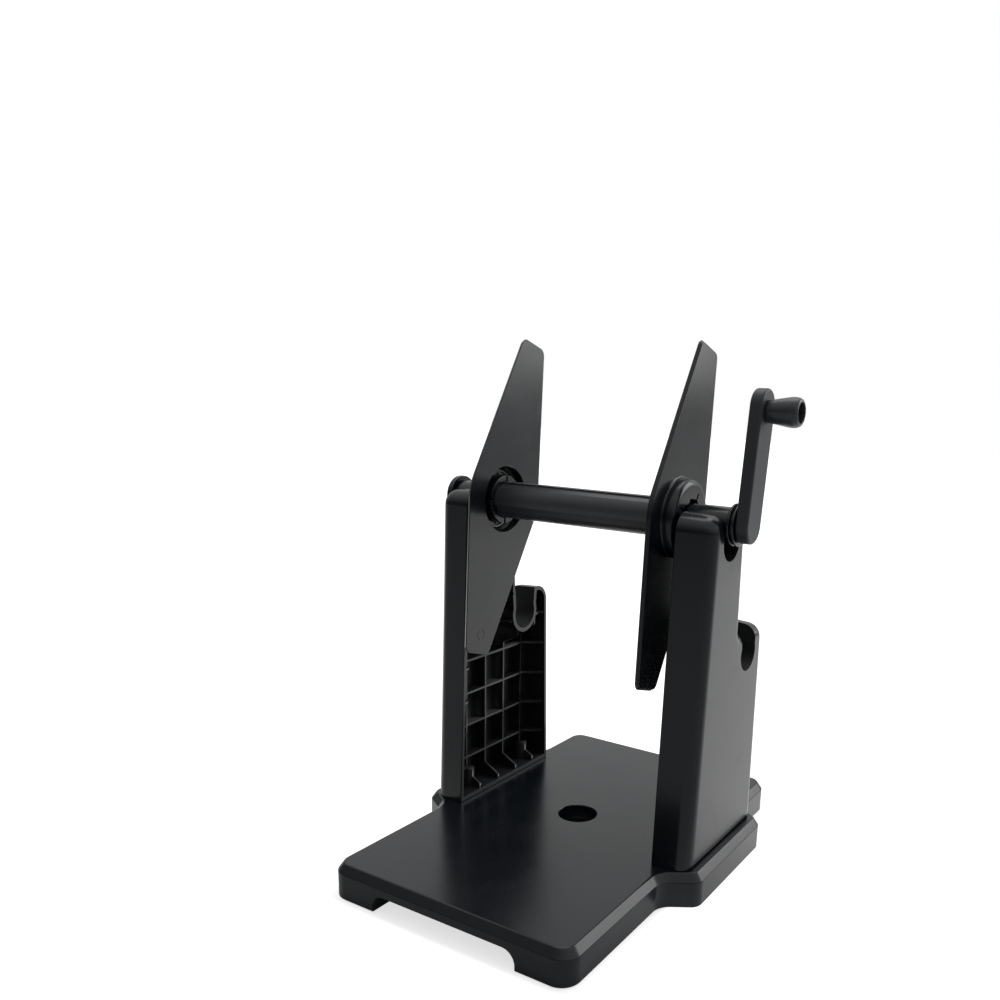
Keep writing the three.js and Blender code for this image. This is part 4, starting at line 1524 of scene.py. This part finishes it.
    def saddle(self) -> Body:
        """The web across the upper notch whose cradle carries the bush.

        Returns:
            The closed body.
        """
        notch = self.notches[0]
        half = self.saddle_thickness / 2
        web = prism("saddle", notch.outline(self.spindle[1], TOUCHING_GAP), self.middle_x - half,
                    self.middle_x + half, Axis.X)
        cradle = rod("cradle", self.bush_radius + RUNNING_CLEARANCE, self.inner_x, self.outer_x, Axis.X,
                     self.spindle)
        return carved(web, Cut.AWAY, [cradle])

    def right(self) -> Body:
        """The right upright.

        Returns:
            The smoothed body, from the base's middle.
        """
        walls = [prism("notch_wall", notch.outline(notch.top_z, self.notch_wall), self.inner_x,
                       self.outer_x, Axis.X) for notch in self.notches]
        bosses = [rod("boss", self.boss_radius, self.bottom, self.bottom + self.screw_reach + self.wall,
                      Axis.Z, (self.middle_x, y), SMALL_TURN_STEPS) for y in self.screw_rows]
        room = carved(self.hollow(), Cut.AWAY, [self.ribs(), *walls, *bosses])
        openings = [prism("notch", notch.outline(notch.top_z + 2 * self.side_draft, 0.0),
                          self.inner_x - CUT_SPARE, self.outer_x + CUT_SPARE, Axis.X)
                    for notch in self.notches]
        holes = [rod("hole", self.screw_hole_radius, self.bottom - CUT_SPARE, self.bottom + self.screw_reach,
                     Axis.Z, (self.middle_x, y), SMALL_TURN_STEPS) for y in self.screw_rows]
        body = carved(self.shell(), Cut.AWAY, [room, *openings, *holes])
        return self.cored(smoothed(carved(body, Cut.ONTO, [self.saddle()])))

    def cored(self, body: Body) -> Body:
        """Marks the faces that a mould's core leaves rougher: the inside and the notches. The finish also
        darkens them, a painted shade.

        Args:
            body: the upright.

        Returns:
            The upright, with the mark as a face attribute.
        """
        towards_opening = -0.95
        marks = body.data.attributes.new("core", "FLOAT", "FACE")
        skin = self.wall / 2
        rib_top = self.inner_x + self.rib_setback + TOUCHING_GAP
        for face, mark in zip(body.data.polygons, marks.data):
            x, y, z = face.center
            on_rib_top = x < rib_top and face.normal.x < towards_opening
            if on_rib_top or not self.inner_x + skin < x < self.outer_x - skin:
                continue
            turn = max(0.0, (x - self.outer_x) / self.edge_radius + 1)
            rounding = self.edge_radius * (1 - math.sqrt(1 - turn * turn))
            mark.value = float(encloses(self.section(x, rounding + skin)[1], (y, z)))
        return body

    def build(self) -> None:
        """Makes both uprights and the screws that hold them."""
        right = self.right()
        right.name = "ribbed_upright_right"
        mirror = Matrix.Scale(-1.0, 4, (1.0, 0.0, 0.0))
        left = smoothed(copied(right, "ribbed_upright_left", mirror))
        for thing, node in ((right, "right_side_panel"), (left, "left_side_panel")):
            thing.data.transform(self.datum.beside_middle())
            self.wardrobe.stand_in(thing, MOULDED_BLACK, "root", node)
        self.build_screws()

    def build_screws(self) -> None:
        """Makes the four screws from under the base."""
        low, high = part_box("panel_screw_front_left")
        head = low.z + self.screw_head_height
        profile = soft_profile([
            (low.z, 0.0, 0.0),
            (low.z, self.screw_head_radius, self.screw_edge),
            (head, self.screw_head_radius, self.screw_seat_edge),
            (head, self.screw_shank_radius, 0.0),
            (high.z - self.screw_shank_radius, self.screw_shank_radius, 0.0),
            (high.z, 0.0, 0.0),
        ], steps=4)
        screw = turned("screw", profile, Axis.Z, steps=SMALL_TURN_STEPS)
        carved(screw, Cut.AWAY, cross_recess(low.z, self.cross_depth, self.cross_reach,
                                             self.cross_half_width, Axis.Z))
        first, last = self.screw_rows
        self.set_out("panel_screws", screw, (first + last) / 2, (2 * self.middle_x, last - first),
                     TURNED_STEEL, "panel_screw")


@dataclass
class Spindle(SubAssembly):
    """The fluted tube, its bushes, the end cap and the grooved collar."""

    lean: float = math.radians(16.7)
    tube_radius: float = 0.011
    channel_count: int = 4
    channel_width: float = 0.0052
    channel_depth: float = 0.0011
    tube_edge_radius: float = 0.0005
    axle_bore_radius: float = 0.0063
    bush_edge_radius: float = 0.0006
    cap_edge_radius: float = 0.0014
    cap_back_edge: float = 0.0003
    cap_dish_depth: float = 0.0005
    cap_dish_share: float = 0.62
    cap_dish_turn: float = 0.0004
    cap_rim_share: float = 0.7
    cap_rim_turn: float = 0.0006
    cap_socket_depth: float = 0.0018
    cap_screw_hole_radius: float = 0.0018
    cap_screw_head_radius: float = 0.004
    cap_screw_head_height: float = 0.0018
    cap_screw_face_share: float = 0.55
    cap_screw_face_turn: float = 0.001
    cap_screw_shoulder_share: float = 0.93
    cap_screw_shoulder_turn: float = 0.0006
    cap_screw_seat_edge: float = 0.0001
    cross_reach: float = 0.0019
    cross_half_width: float = 0.00045
    cross_depth: float = 0.0012
    disc_thickness: float = 0.0015
    groove_width: float = 0.0012
    groove_turn: float = 0.0003
    disc_edge_radius: float = 0.0006

    def tube(self) -> Body:
        """The tube with its channels and its bore.

        Returns:
            The closed body.
        """
        low, high = self.extent("spindle_tube")
        profile = soft_profile([
            (low, 0.0, 0.0),
            (low, self.tube_radius, self.tube_edge_radius),
            (high, self.tube_radius, self.tube_edge_radius),
            (high, 0.0, 0.0),
        ], steps=3)
        channels = self.pattern.grown("channels", self.pattern.spokes, {
            "Count": self.channel_count,
            "First Angle": math.pi / 4,
            "Width": self.channel_width,
            "Inner": self.tube_radius - self.channel_depth,
            "Outer": 2 * self.tube_radius,
            "Low": low - CUT_SPARE,
            "High": high + CUT_SPARE,
        })
        bore = rod("bore", self.axle_bore_radius, low - CUT_SPARE, high + CUT_SPARE, Axis.X,
                   steps=SMALL_TURN_STEPS)
        return carved(turned("fluted_tube", profile, Axis.X), Cut.AWAY, [channels, bore])

    def bush(self, side: str) -> Body:
        """A plain bush with soft ends.

        Args:
            side: left or right.

        Returns:
            The closed body.
        """
        low, high = self.extent(f"{side}_bush")
        radius = self.radius(f"{side}_bush")
        outer = soft_profile([
            (low, self.axle_bore_radius, 0.0),
            (low, radius, self.bush_edge_radius),
            (high, radius, self.bush_edge_radius),
            (high, self.axle_bore_radius, 0.0),
        ])
        return turned(f"smooth_bush_{side}", outer, Axis.X)

    def cap(self) -> Body:
        """The end cap: a disc with a round edge, a shallow dish and a screw hole.

        Returns:
            The closed body.
        """
        low, high = self.extent("left_end_cap")
        radius = self.radius("left_end_cap")
        dish = low + self.cap_dish_depth
        disc = turned("cap", soft_profile([
            (dish, 0.0, 0.0),
            (dish, self.cap_dish_share * radius, self.cap_dish_turn),
            (low, self.cap_rim_share * radius, self.cap_rim_turn),
            (low, radius, self.cap_edge_radius),
            (high, radius, self.cap_back_edge),
            (high, 0.0, 0.0),
        ]), Axis.X)
        return carved(disc, Cut.AWAY, [
            rod("socket", self.axle_bore_radius, high - self.cap_socket_depth, high + CUT_SPARE, Axis.X,
                steps=SMALL_TURN_STEPS),
            rod("hole", self.cap_screw_hole_radius, low - CUT_SPARE, high, Axis.X, steps=SMALL_TURN_STEPS),
        ])

    def cap_screw(self) -> Body:
        """The domed screw in the end cap, with a cross recess.

        Returns:
            The closed body.
        """
        low, high = self.extent("end_cap_screw")
        head = self.cap_screw_head_radius
        shoulder = low + self.cap_screw_face_share * self.cap_screw_head_height
        under = low + self.cap_screw_head_height
        shank = self.cap_screw_hole_radius - RUNNING_CLEARANCE
        profile = soft_profile([
            (low, 0.0, 0.0),
            (low, self.cap_screw_face_share * head, self.cap_screw_face_turn),
            (shoulder, self.cap_screw_shoulder_share * head, self.cap_screw_shoulder_turn),
            (under, head, self.cap_screw_seat_edge),
            (under, shank, 0.0),
            (high, shank, 0.0),
            (high, 0.0, 0.0),
        ], steps=4)
        screw = turned("cap_screw", profile, Axis.X, steps=SMALL_TURN_STEPS)
        return carved(screw, Cut.AWAY, cross_recess(low, self.cross_depth, self.cross_reach,
                                                    self.cross_half_width, Axis.X))

    def collar(self) -> Body:
        """Two thin discs with a groove between them.

        Returns:
            The closed body.
        """
        low, high = self.extent("right_collar")
        radius = self.radius("right_collar")
        groove = self.radius("right_bush")
        first, second = low + self.disc_thickness, low + self.disc_thickness + self.groove_width
        edge = self.disc_edge_radius
        return turned("grooved_collar", soft_profile([
            (low, self.axle_bore_radius, 0.0),
            (low, radius, edge),
            (first, radius, edge),
            (first, groove, self.groove_turn),
            (second, groove, self.groove_turn),
            (second, radius, edge),
            (high, radius, edge),
            (high, self.axle_bore_radius, 0.0),
        ]), Axis.X)

    def build(self) -> None:
        """Makes the spindle's pieces."""
        pieces = [
            (self.tube(), self.lean, TUBE_BLACK, "spindle", "spindle_tube"),
            (self.bush("left"), 0.0, SMOOTH_BLACK, "bushes", "left_bush"),
            (self.bush("right"), 0.0, SMOOTH_BLACK, "bushes", "right_bush"),
            (self.cap(), 0.0, SMOOTH_BLACK, "spindle", "left_end_cap"),
            (self.cap_screw(), self.datum.crank_lean, BLACKENED_STEEL, "spindle", "end_cap_screw"),
            (self.collar(), 0.0, SMOOTH_BLACK, "spindle", "right_collar"),
        ]
        for thing, lean, finish, body, node in pieces:
            thing.data.transform(self.datum.on_spindle(lean))
            thing.name = f"fine_{node}"
            self.wardrobe.stand_in(smoothed(thing), finish, body, node)


@dataclass
class Flange(SubAssembly):
    """The bow-tie flange with its dished hub and split collet, used twice."""

    spindle: Spindle
    length: float = 0.1934
    tip_half_width: float = 0.0112
    waist_radius: float = 0.0345
    tip_radius: float = 0.005
    thickness: float = 0.0022
    draft: float = 0.001
    edge_radius: float = 0.0004
    hub_radius: float = 0.0223
    hub_height: float = 0.0074
    shoulder_radius: float = 0.0044
    foot_fillet: float = 0.0012
    fillet_turn: float = 0.0004
    recess_radius: float = 0.02
    recess_flare: float = 0.0004
    recess_floor_radius: float = 0.0174
    recess_slope_height: float = 0.0026
    recess_wall_turn: float = 0.0012
    recess_floor_turn: float = 0.001
    mould_taper: float = 0.0002
    floor: float = 0.0022
    collet_wall: float = 0.0032
    collet_edge: float = 0.0004
    collet_root_rise: float = 0.0008
    collet_root_spread: float = 0.0006
    mouth_chamfer: float = 0.0004
    slot_width: float = 0.0016
    slot_angle: float = math.radians(-12.5)
    slot_reach: float = 0.0157
    key_side_clearance: float = 0.00035
    key_top_clearance: float = 0.0003
    mark_radius: float = 0.0033
    mark_width: float = 0.00035
    mark_depth: float = 0.0002
    mark_along: float = -0.0845
    mark_across: float = 0.0

    @property
    def hub_face(self) -> float:
        """The level of the hub's flat face."""
        return self.thickness + self.hub_height

    def outline(self, inset: float) -> Outline:
        """The blade: two tips joined to a round waist by lines that touch it.

        Args:
            inset: how far the outline moves inwards.

        Returns:
            The outline, counter-clockwise.
        """
        tip, half = self.length / 2, self.tip_half_width
        normal = math.atan2(tip, half) - math.acos(self.waist_radius / math.hypot(tip, half))
        waist = self.waist_radius / math.cos(normal)
        return rounded_outline([
            (half, -tip, self.tip_radius),
            (waist, 0.0, self.waist_radius),
            (half, tip, self.tip_radius),
            (-half, tip, self.tip_radius),
            (-waist, 0.0, self.waist_radius),
            (-half, -tip, self.tip_radius),
        ], inset)

    def blade(self) -> Body:
        """The thin drafted blade with soft rims.

        Returns:
            The closed body.
        """
        steps = ARC_STEPS // 3
        sections = [(level, self.outline(inset)) for level, inset in rim(0.0, self.edge_radius, 1, steps)]
        sections += [(level, self.outline(self.draft + inset))
                     for level, inset in rim(self.thickness, self.edge_radius, -1, steps)]
        return loft("blade", sections, Axis.X)

    def hub(self) -> Body:
        """The raised hub, with a fillet at its foot and a round shoulder.

        Returns:
            The closed body.
        """
        foot, root = self.thickness, self.hub_radius + self.foot_fillet
        low_share, out_share = 0.2, 0.25
        return turned("hub", soft_profile([
            (foot / 2, 0.0, 0.0),
            (foot / 2, root, 0.0),
            (foot, root, 0.0),
            (foot + low_share * self.foot_fillet, self.hub_radius + out_share * self.foot_fillet,
             self.fillet_turn),
            (foot + self.foot_fillet, self.hub_radius, self.fillet_turn),
            (self.hub_face, self.hub_radius - self.mould_taper, self.shoulder_radius),
            (self.hub_face, 0.0, 0.0),
        ], steps=8), Axis.X)

    def recess(self) -> Body:
        """The dish inside the hub, which narrows to its floor.

        Returns:
            The closed body.
        """
        floor = self.hub_face - self.floor
        return turned("recess", soft_profile([
            (-CUT_SPARE, 0.0, 0.0),
            (-CUT_SPARE, self.recess_radius + self.recess_flare, 0.0),
            (0.0, self.recess_radius + self.recess_flare, 0.0),
            (self.recess_flare, self.recess_radius, 0.0),
            (floor - self.recess_slope_height, self.recess_radius - self.mould_taper, self.recess_wall_turn),
            (floor, self.recess_floor_radius, self.recess_floor_turn),
            (floor, 0.0, 0.0),
        ], steps=8), Axis.X)

    def solid(self) -> Body:
        """The whole flange about the X axis, its inner face at level 0.

        Returns:
            The closed body.
        """
        spindle = self.spindle
        bore = spindle.tube_radius + RUNNING_CLEARANCE
        collet = bore + self.collet_wall
        floor = self.hub_face - self.floor
        body = carved(self.blade(), Cut.ONTO, [self.hub()])
        carved(body, Cut.AWAY, [self.recess()])
        ring = turned("collet", soft_profile([
            (0.0, 0.0, 0.0),
            (0.0, collet, self.collet_edge),
            (floor - self.collet_root_rise, collet, self.collet_edge),
            (floor + self.floor / 2, collet + self.collet_root_spread, 0.0),
            (floor + self.floor / 2, 0.0, 0.0),
        ]), Axis.X)
        carved(body, Cut.ONTO, [ring])
        mouth = turned("mouth", [
            (-CUT_SPARE, 0.0),
            (-CUT_SPARE, bore + self.mouth_chamfer),
            (self.mouth_chamfer, bore),
            (self.hub_face - self.mouth_chamfer, bore),
            (self.hub_face + CUT_SPARE, bore + self.mouth_chamfer + CUT_SPARE),
            (self.hub_face + CUT_SPARE, 0.0),
        ], Axis.X)
        slots = self.pattern.grown("slots", self.pattern.spokes, {
            "Count": spindle.channel_count,
            "First Angle": self.slot_angle,
            "Width": self.slot_width,
            "Inner": bore / 2,
            "Outer": self.slot_reach,
            "Low": -CUT_SPARE,
            "High": self.hub_face + CUT_SPARE,
        })
        mark = turned("mark", [
            (-CUT_SPARE, self.mark_radius - self.mark_width),
            (-CUT_SPARE, self.mark_radius),
            (self.mark_depth, self.mark_radius),
            (self.mark_depth, self.mark_radius - self.mark_width),
        ], Axis.X, (self.mark_across, self.mark_along), SMALL_TURN_STEPS)
        carved(body, Cut.AWAY, [mouth, slots, mark])
        keys = self.pattern.grown("keys", self.pattern.spokes, {
            "Count": spindle.channel_count,
            "First Angle": math.pi / 4,
            "Width": spindle.channel_width - 2 * self.key_side_clearance,
            "Inner": spindle.tube_radius - spindle.channel_depth + self.key_top_clearance,
            "Outer": bore + self.collet_wall / 2,
            "Low": 0.0,
            "High": self.hub_face,
        })
        return carved(body, Cut.ONTO, [keys])

    def build(self) -> None:
        """Makes both flanges where the frame has them."""
        right = self.solid()
        left = copied(right, "left", Matrix.Rotation(math.pi, 4, "Z"))
        places = ((right, "right_flange", self.extent("right_flange")[0]),
                  (left, "left_flange", self.extent("left_flange")[1]))
        for thing, node, x in places:
            thing.name = f"bow_tie_{node}"
            thing.data.transform(self.datum.on_spindle(self.spindle.lean) @ Matrix.Translation((x, 0.0, 0.0)))
            self.wardrobe.stand_in(smoothed(thing), MOULDED_BLACK, node, node)


@dataclass
class Crank(SubAssembly):
    """The crank arm, its knob and the screw that the knob turns on."""

    width: float = 0.0192
    reach: float = 0.0616
    edge_radius: float = 0.0014
    knob_reach: float = 0.0596
    knob_root_radius: float = 0.0059
    knob_swell_radius: float = 0.0078
    knob_end_radius: float = 0.006
    knob_swell_at: float = 0.76
    knob_straight_share: float = 0.45
    knob_root_chamfer: float = 0.0004
    knob_root_height: float = 0.0003
    knob_recess_chamfer: float = 0.0004
    knob_recess_flare: float = 0.0003
    knob_recess_taper: float = 0.0001
    knob_recess_radius: float = 0.0053
    knob_recess_depth: float = 0.008
    screw_radius: float = 0.0023
    screw_head_radius: float = 0.0044
    screw_head_height: float = 0.0026
    screw_tip_radius: float = 0.0018
    screw_tip_length: float = 0.0046
    screw_edge: float = 0.0003
    screw_head_edge: float = 0.0006
    hexagon_radius: float = 0.002
    hexagon_depth: float = 0.0016
    socket_depth: float = 0.005
    socket_radius: float = 0.0063
    socket_flat: float = 0.0048

    def outline(self, inset: float) -> Outline:
        """A bar with round ends, from the spindle's axis to past the knob's.

        Args:
            inset: how far the outline moves inwards.

        Returns:
            The outline, counter-clockwise.
        """
        radius = self.width / 2 - inset
        steps = 3 * ARC_STEPS
        points = []
        for middle, first in ((self.reach, 0.0), (0.0, math.pi)):
            for k in range(steps + 1):
                angle = first + math.pi * k / steps
                points.append((radius * math.cos(angle), middle + radius * math.sin(angle)))
        return points

    def arm(self, low: float, high: float) -> Body:
        """The arm with its flatted socket and the hole for the knob's screw.

        Args:
            low: its first level along the spindle.
            high: its last level.

        Returns:
            The closed body.
        """
        rims = rim(low, self.edge_radius, 1) + rim(high, self.edge_radius, -1)
        body = loft("arm", [(level, self.outline(inset)) for level, inset in rims], Axis.X)
        socket = rod("socket", self.socket_radius, low - CUT_SPARE, low + self.socket_depth, Axis.X,
                     steps=SMALL_TURN_STEPS)
        flat = block("flat", (low - 2 * CUT_SPARE, self.socket_flat, -self.width),
                     (high, self.width, self.width))
        carved(socket, Cut.AWAY, [flat])
        hole = rod("hole", self.screw_tip_radius + RUNNING_CLEARANCE,
                   high - self.screw_tip_length - TOUCHING_GAP, high + CUT_SPARE, Axis.X,
                   (0.0, self.knob_reach), SMALL_TURN_STEPS)
        return carved(body, Cut.AWAY, [socket, hole])

    def grip_radius(self, share: float) -> float:
        """The grip's radius at a share of its length: a cone that swells into a round end.

        Args:
            share: 0 beside the arm, 1 at the end.

        Returns:
            The radius.
        """
        rise = self.knob_swell_radius - self.knob_root_radius
        straight = self.knob_straight_share
        if share <= self.knob_swell_at:
            t = share / self.knob_swell_at
            return self.knob_root_radius + rise * (t * t * (3 - 2 * t) * (1 - straight) + t * straight)
        t = (share - self.knob_swell_at) / (1 - self.knob_swell_at)
        return self.knob_end_radius + (self.knob_swell_radius - self.knob_end_radius) * math.sqrt(1 - t * t)

    def knob(self, low: float, high: float) -> Body:
        """The turned grip with a recess in its end.

        Args:
            low: its first level along the spindle.
            high: its last level.

        Returns:
            The closed body.
        """
        steps = 40
        grip = [(low + (high - low) * k / steps, self.grip_radius(k / steps)) for k in range(steps + 1)]
        floor = high - self.knob_recess_depth
        bore = self.screw_radius + RUNNING_CLEARANCE
        return turned("knob", [
            (low, bore),
            (low, self.knob_root_radius - self.knob_root_chamfer),
            (low + self.knob_root_height, grip[1][1]),
            *grip[2:],
            (high, self.knob_recess_radius + self.knob_recess_flare),
            (high - self.knob_recess_chamfer, self.knob_recess_radius),
            (floor, self.knob_recess_radius - self.knob_recess_taper),
            (floor, bore),
        ], Axis.X, (0.0, self.knob_reach))

    def screw(self, low: float, high: float, shoulder: float) -> Body:
        """The shoulder screw with a hexagon socket in its head.

        Args:
            low: its first level along the spindle.
            high: its last level.
            shoulder: the level where it leaves the arm.

        Returns:
            The closed body.
        """
        under = high - self.screw_head_height
        centre = (0.0, self.knob_reach)
        body = turned("knob_screw", soft_profile([
            (low, 0.0, 0.0),
            (low, self.screw_tip_radius, self.screw_edge),
            (shoulder, self.screw_tip_radius, 0.0),
            (shoulder, self.screw_radius, 0.0),
            (under, self.screw_radius, 0.0),
            (under, self.screw_head_radius, self.screw_edge),
            (high, self.screw_head_radius, self.screw_head_edge),
            (high, 0.0, 0.0),
        ], steps=4), Axis.X, centre, SMALL_TURN_STEPS)
        hexagon = rod("hexagon", self.hexagon_radius, high - self.hexagon_depth, high + CUT_SPARE, Axis.X,
                      centre, 6)
        return carved(body, Cut.AWAY, [hexagon])

    def build(self) -> None:
        """Makes the crank's pieces."""
        arm_ends, screw_ends = self.extent("crank_arm"), self.extent("knob_screw")
        pieces = [
            (self.arm(*arm_ends), SATIN_BLACK, "spindle", "crank_arm"),
            (self.knob(*self.extent("crank_knob")), GRIP_BLACK, "knob", "crank_knob"),
            (self.screw(*screw_ends, arm_ends[1] + TOUCHING_GAP), BLACKENED_STEEL, "spindle", "knob_screw"),
        ]
        for thing, finish, body, node in pieces:
            thing.data.transform(self.datum.on_spindle(self.datum.crank_lean))
            thing.name = f"fine_{node}"
            self.wardrobe.stand_in(smoothed(thing), finish, body, node)


# Studio


@dataclass(frozen=True)
class SoftBox:
    """A rectangular lamp that faces a point."""

    name: str
    place: Triple
    size: Pair
    power: float
    target: Triple = (0.0, 0.0, 0.12)

    def build(self) -> None:
        """Adds the lamp to the scene."""
        lamp = bpy.data.lights.new(self.name, "AREA")
        lamp.shape = "RECTANGLE"
        lamp.size, lamp.size_y = self.size
        lamp.energy = self.power
        thing = bpy.data.objects.new(self.name, lamp)
        bpy.context.scene.collection.objects.link(thing)
        away = Vector(self.place) - Vector(self.target)
        turn = away.to_track_quat("Z", "Y").to_matrix().to_4x4()
        thing.matrix_world = Matrix.Translation(self.place) @ turn


@dataclass
class Studio:
    """The floor, the lamps, the world and the camera."""

    camera_from_middle: Triple = (0.2813, -0.4483, 0.2781)
    yaw: float = math.radians(30.15)
    pitch: float = math.radians(14.73)
    roll: float = math.radians(2.27)
    focal_pixels: float = 912.86
    principal_point: Pair = (609.5, 635.9)
    picture_pixels: float = 1000.0
    sensor_mm: float = 36.0
    clip_start: float = 0.01
    floor_half: float = 6.0
    floor_colour: Triple = (0.45, 0.45, 0.45)
    footprint: Pair = (0.080, 0.1275)
    # The glow settings below paint shade on the floor: a contact shadow round the base, shade under it, and
    # in reflections shade towards the front and far away.
    painted_shadow_glow: float = 0.68
    painted_shadow_reach: float = 0.007
    dim_slant: float = 0.8
    dim_limits: Pair = (-0.15, 0.12)
    hidden_depth: float = 0.040
    mirrored_limits: Pair = (0.7, 1.6)
    mirrored_glow: Pair = (0.8, 0.2)
    sky_limits: Pair = (-0.35, 0.65)
    sky_glow: Pair = (0.1, 0.85)
    horizon_limits: Pair = (-0.05, 0.4)
    horizon_glow: Pair = (0.5, 1.0)
    bright_direction: Triple = (0.1, 0.5, 0.86)
    lamps: tuple[SoftBox, ...] = (
        SoftBox("right_box", (1.3, 1.5, 0.9), (1.2, 1.2), 14.0),
        SoftBox("top_box", (-0.2, 0.6, 1.9), (1.4, 1.2), 10.0),
    )

    def build_camera(self, datum: Datum) -> None:
        """Places the camera at the photograph's view.

        Args:
            datum: the shared places.
        """
        forward = Vector((-math.sin(self.yaw) * math.cos(self.pitch),
                          math.cos(self.yaw) * math.cos(self.pitch), -math.sin(self.pitch)))
        level = Vector((math.cos(self.yaw), math.sin(self.yaw), 0.0))
        upward = level.cross(forward)
        right = level * math.cos(self.roll) + upward * math.sin(self.roll)
        up = upward * math.cos(self.roll) - level * math.sin(self.roll)
        camera = bpy.data.cameras.new("camera")
        camera.sensor_width = self.sensor_mm
        camera.lens = self.focal_pixels / self.picture_pixels * self.sensor_mm
        camera.shift_x = 0.5 - self.principal_point[0] / self.picture_pixels
        camera.shift_y = self.principal_point[1] / self.picture_pixels - 0.5
        camera.clip_start = self.clip_start
        thing = bpy.data.objects.new("camera", camera)
        bpy.context.scene.collection.objects.link(thing)
        turn = Matrix((right, up, -forward)).transposed().to_4x4()
        place = Vector(self.camera_from_middle) + Vector((datum.middle_x, 0.0, 0.0))
        thing.matrix_world = Matrix.Translation(place) @ turn
        bpy.context.scene.camera = thing

    def build_floor(self, datum: Datum) -> None:
        """Makes a white floor that keeps the object's shadow and paints shade on its glow: a contact shadow
        round the base, shade under the base, and in reflections shade towards the front and far away.

        Args:
            datum: the shared places.
        """
        half = self.floor_half
        floor = mesh_object("floor", [(-half, -half, 0.0), (half, -half, 0.0), (half, half, 0.0),
                                      (-half, half, 0.0)], [(0, 1, 2, 3)])
        material = bpy.data.materials.new("white_floor")
        graph = cleared(material)
        place = graph.add("ShaderNodeSeparateXYZ", {0: graph.add("ShaderNodeTexCoord").outputs["Object"]})
        across = graph.math("ABSOLUTE", graph.math("SUBTRACT", place.outputs["X"], datum.middle_x))
        along = graph.math("ABSOLUTE", place.outputs["Y"])
        away = graph.math("MAXIMUM", graph.math("SUBTRACT", across, self.footprint[0]),
                          graph.math("SUBTRACT", along, self.footprint[1]))
        # Painted shade under the base and a painted contact shadow round it, both made by taking glow away.
        painted_shade_under_base = graph.ramp(away, (-self.hidden_depth, -self.hidden_depth / 2), course=SOFT_COURSE)
        painted_contact_shadow = graph.ramp(away, (0.0, self.painted_shadow_reach), (self.painted_shadow_glow, 1.0), SOFT_COURSE)
        # Painted shade in the object's reflections of the floor: less glow towards the front and far away.
        beyond = graph.math("MAXIMUM", graph.math("SUBTRACT", place.outputs["X"], self.footprint[0]), 0.0)
        behind = graph.math("SUBTRACT", place.outputs["Y"], graph.math("MULTIPLY", beyond, self.dim_slant))
        painted_front_shade = graph.ramp(behind, self.dim_limits, course=SOFT_COURSE)
        painted_far_shade = graph.ramp(away, self.mirrored_limits, self.mirrored_glow, SOFT_COURSE)
        path = graph.add("ShaderNodeLightPath")
        mirrored = graph.math("MAXIMUM", path.outputs["Is Glossy Ray"], path.outputs["Is Transmission Ray"])
        to_object = graph.math("MULTIPLY", mirrored, graph.math("MULTIPLY", painted_front_shade, painted_far_shade))
        to_camera = graph.math("MULTIPLY", path.outputs["Is Camera Ray"], painted_contact_shadow)
        glow = graph.add("ShaderNodeEmission", {
            "Color": (1.0, 1.0, 1.0, 1.0),
            "Strength": graph.math("MULTIPLY", painted_shade_under_base, graph.math("ADD", to_camera, to_object)),
        })
        matt = graph.add("ShaderNodeBsdfDiffuse", {"Color": (*self.floor_colour, 1.0)})
        both = graph.add("ShaderNodeAddShader", {0: glow.outputs[0], 1: matt.outputs[0]})
        graph.add("ShaderNodeOutputMaterial", {"Surface": both.outputs[0]})
        floor.data.materials.append(material)

    def build_world(self) -> None:
        """Makes a world that is white to the camera, and darker towards the front for the object."""
        world = bpy.data.worlds.new("studio")
        graph = cleared(world)
        direction = graph.add("ShaderNodeTexCoord").outputs["Generated"]
        likeness = graph.add("ShaderNodeVectorMath", {
            0: direction,
            1: Vector(self.bright_direction).normalized(),
        }, operation="DOT_PRODUCT").outputs["Value"]
        shade = graph.ramp(likeness, self.sky_limits, self.sky_glow, SOFT_COURSE)
        height = graph.add("ShaderNodeSeparateXYZ", {0: direction}).outputs["Z"]
        lifted = graph.ramp(height, self.horizon_limits, self.horizon_glow, SOFT_COURSE)
        seen = graph.add("ShaderNodeLightPath").outputs["Is Camera Ray"]
        strength = graph.math("MAXIMUM", graph.math("MULTIPLY", shade, lifted), seen)
        sky = graph.add("ShaderNodeBackground", {"Color": (1.0, 1.0, 1.0, 1.0), "Strength": strength})
        graph.add("ShaderNodeOutputWorld", {"Surface": sky.outputs[0]})
        bpy.context.scene.world = world

    def build(self, datum: Datum) -> None:
        """Builds the whole studio.

        Args:
            datum: the shared places.
        """
        self.build_camera(datum)
        self.build_floor(datum)
        self.build_world()
        for lamp in self.lamps:
            lamp.build()
        bpy.context.scene.view_settings.view_transform = "Standard"


def main() -> None:
    """Builds every sub-assembly in order."""
    logging.basicConfig(level=logging.INFO, format="%(message)s")
    datum, pattern, wardrobe = Datum.read(), Pattern(), Wardrobe()
    upright = Upright(datum, pattern, wardrobe)
    spindle = Spindle(datum, pattern, wardrobe)
    Studio().build(datum)
    Base(datum, pattern, wardrobe, upright.screw_places).build()
    upright.build()
    spindle.build()
    Flange(datum, pattern, wardrobe, spindle).build()
    Crank(datum, pattern, wardrobe).build()
    wardrobe.dress(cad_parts["spindle_axle"], TURNED_STEEL)


if __name__ == "__main__":
    main()
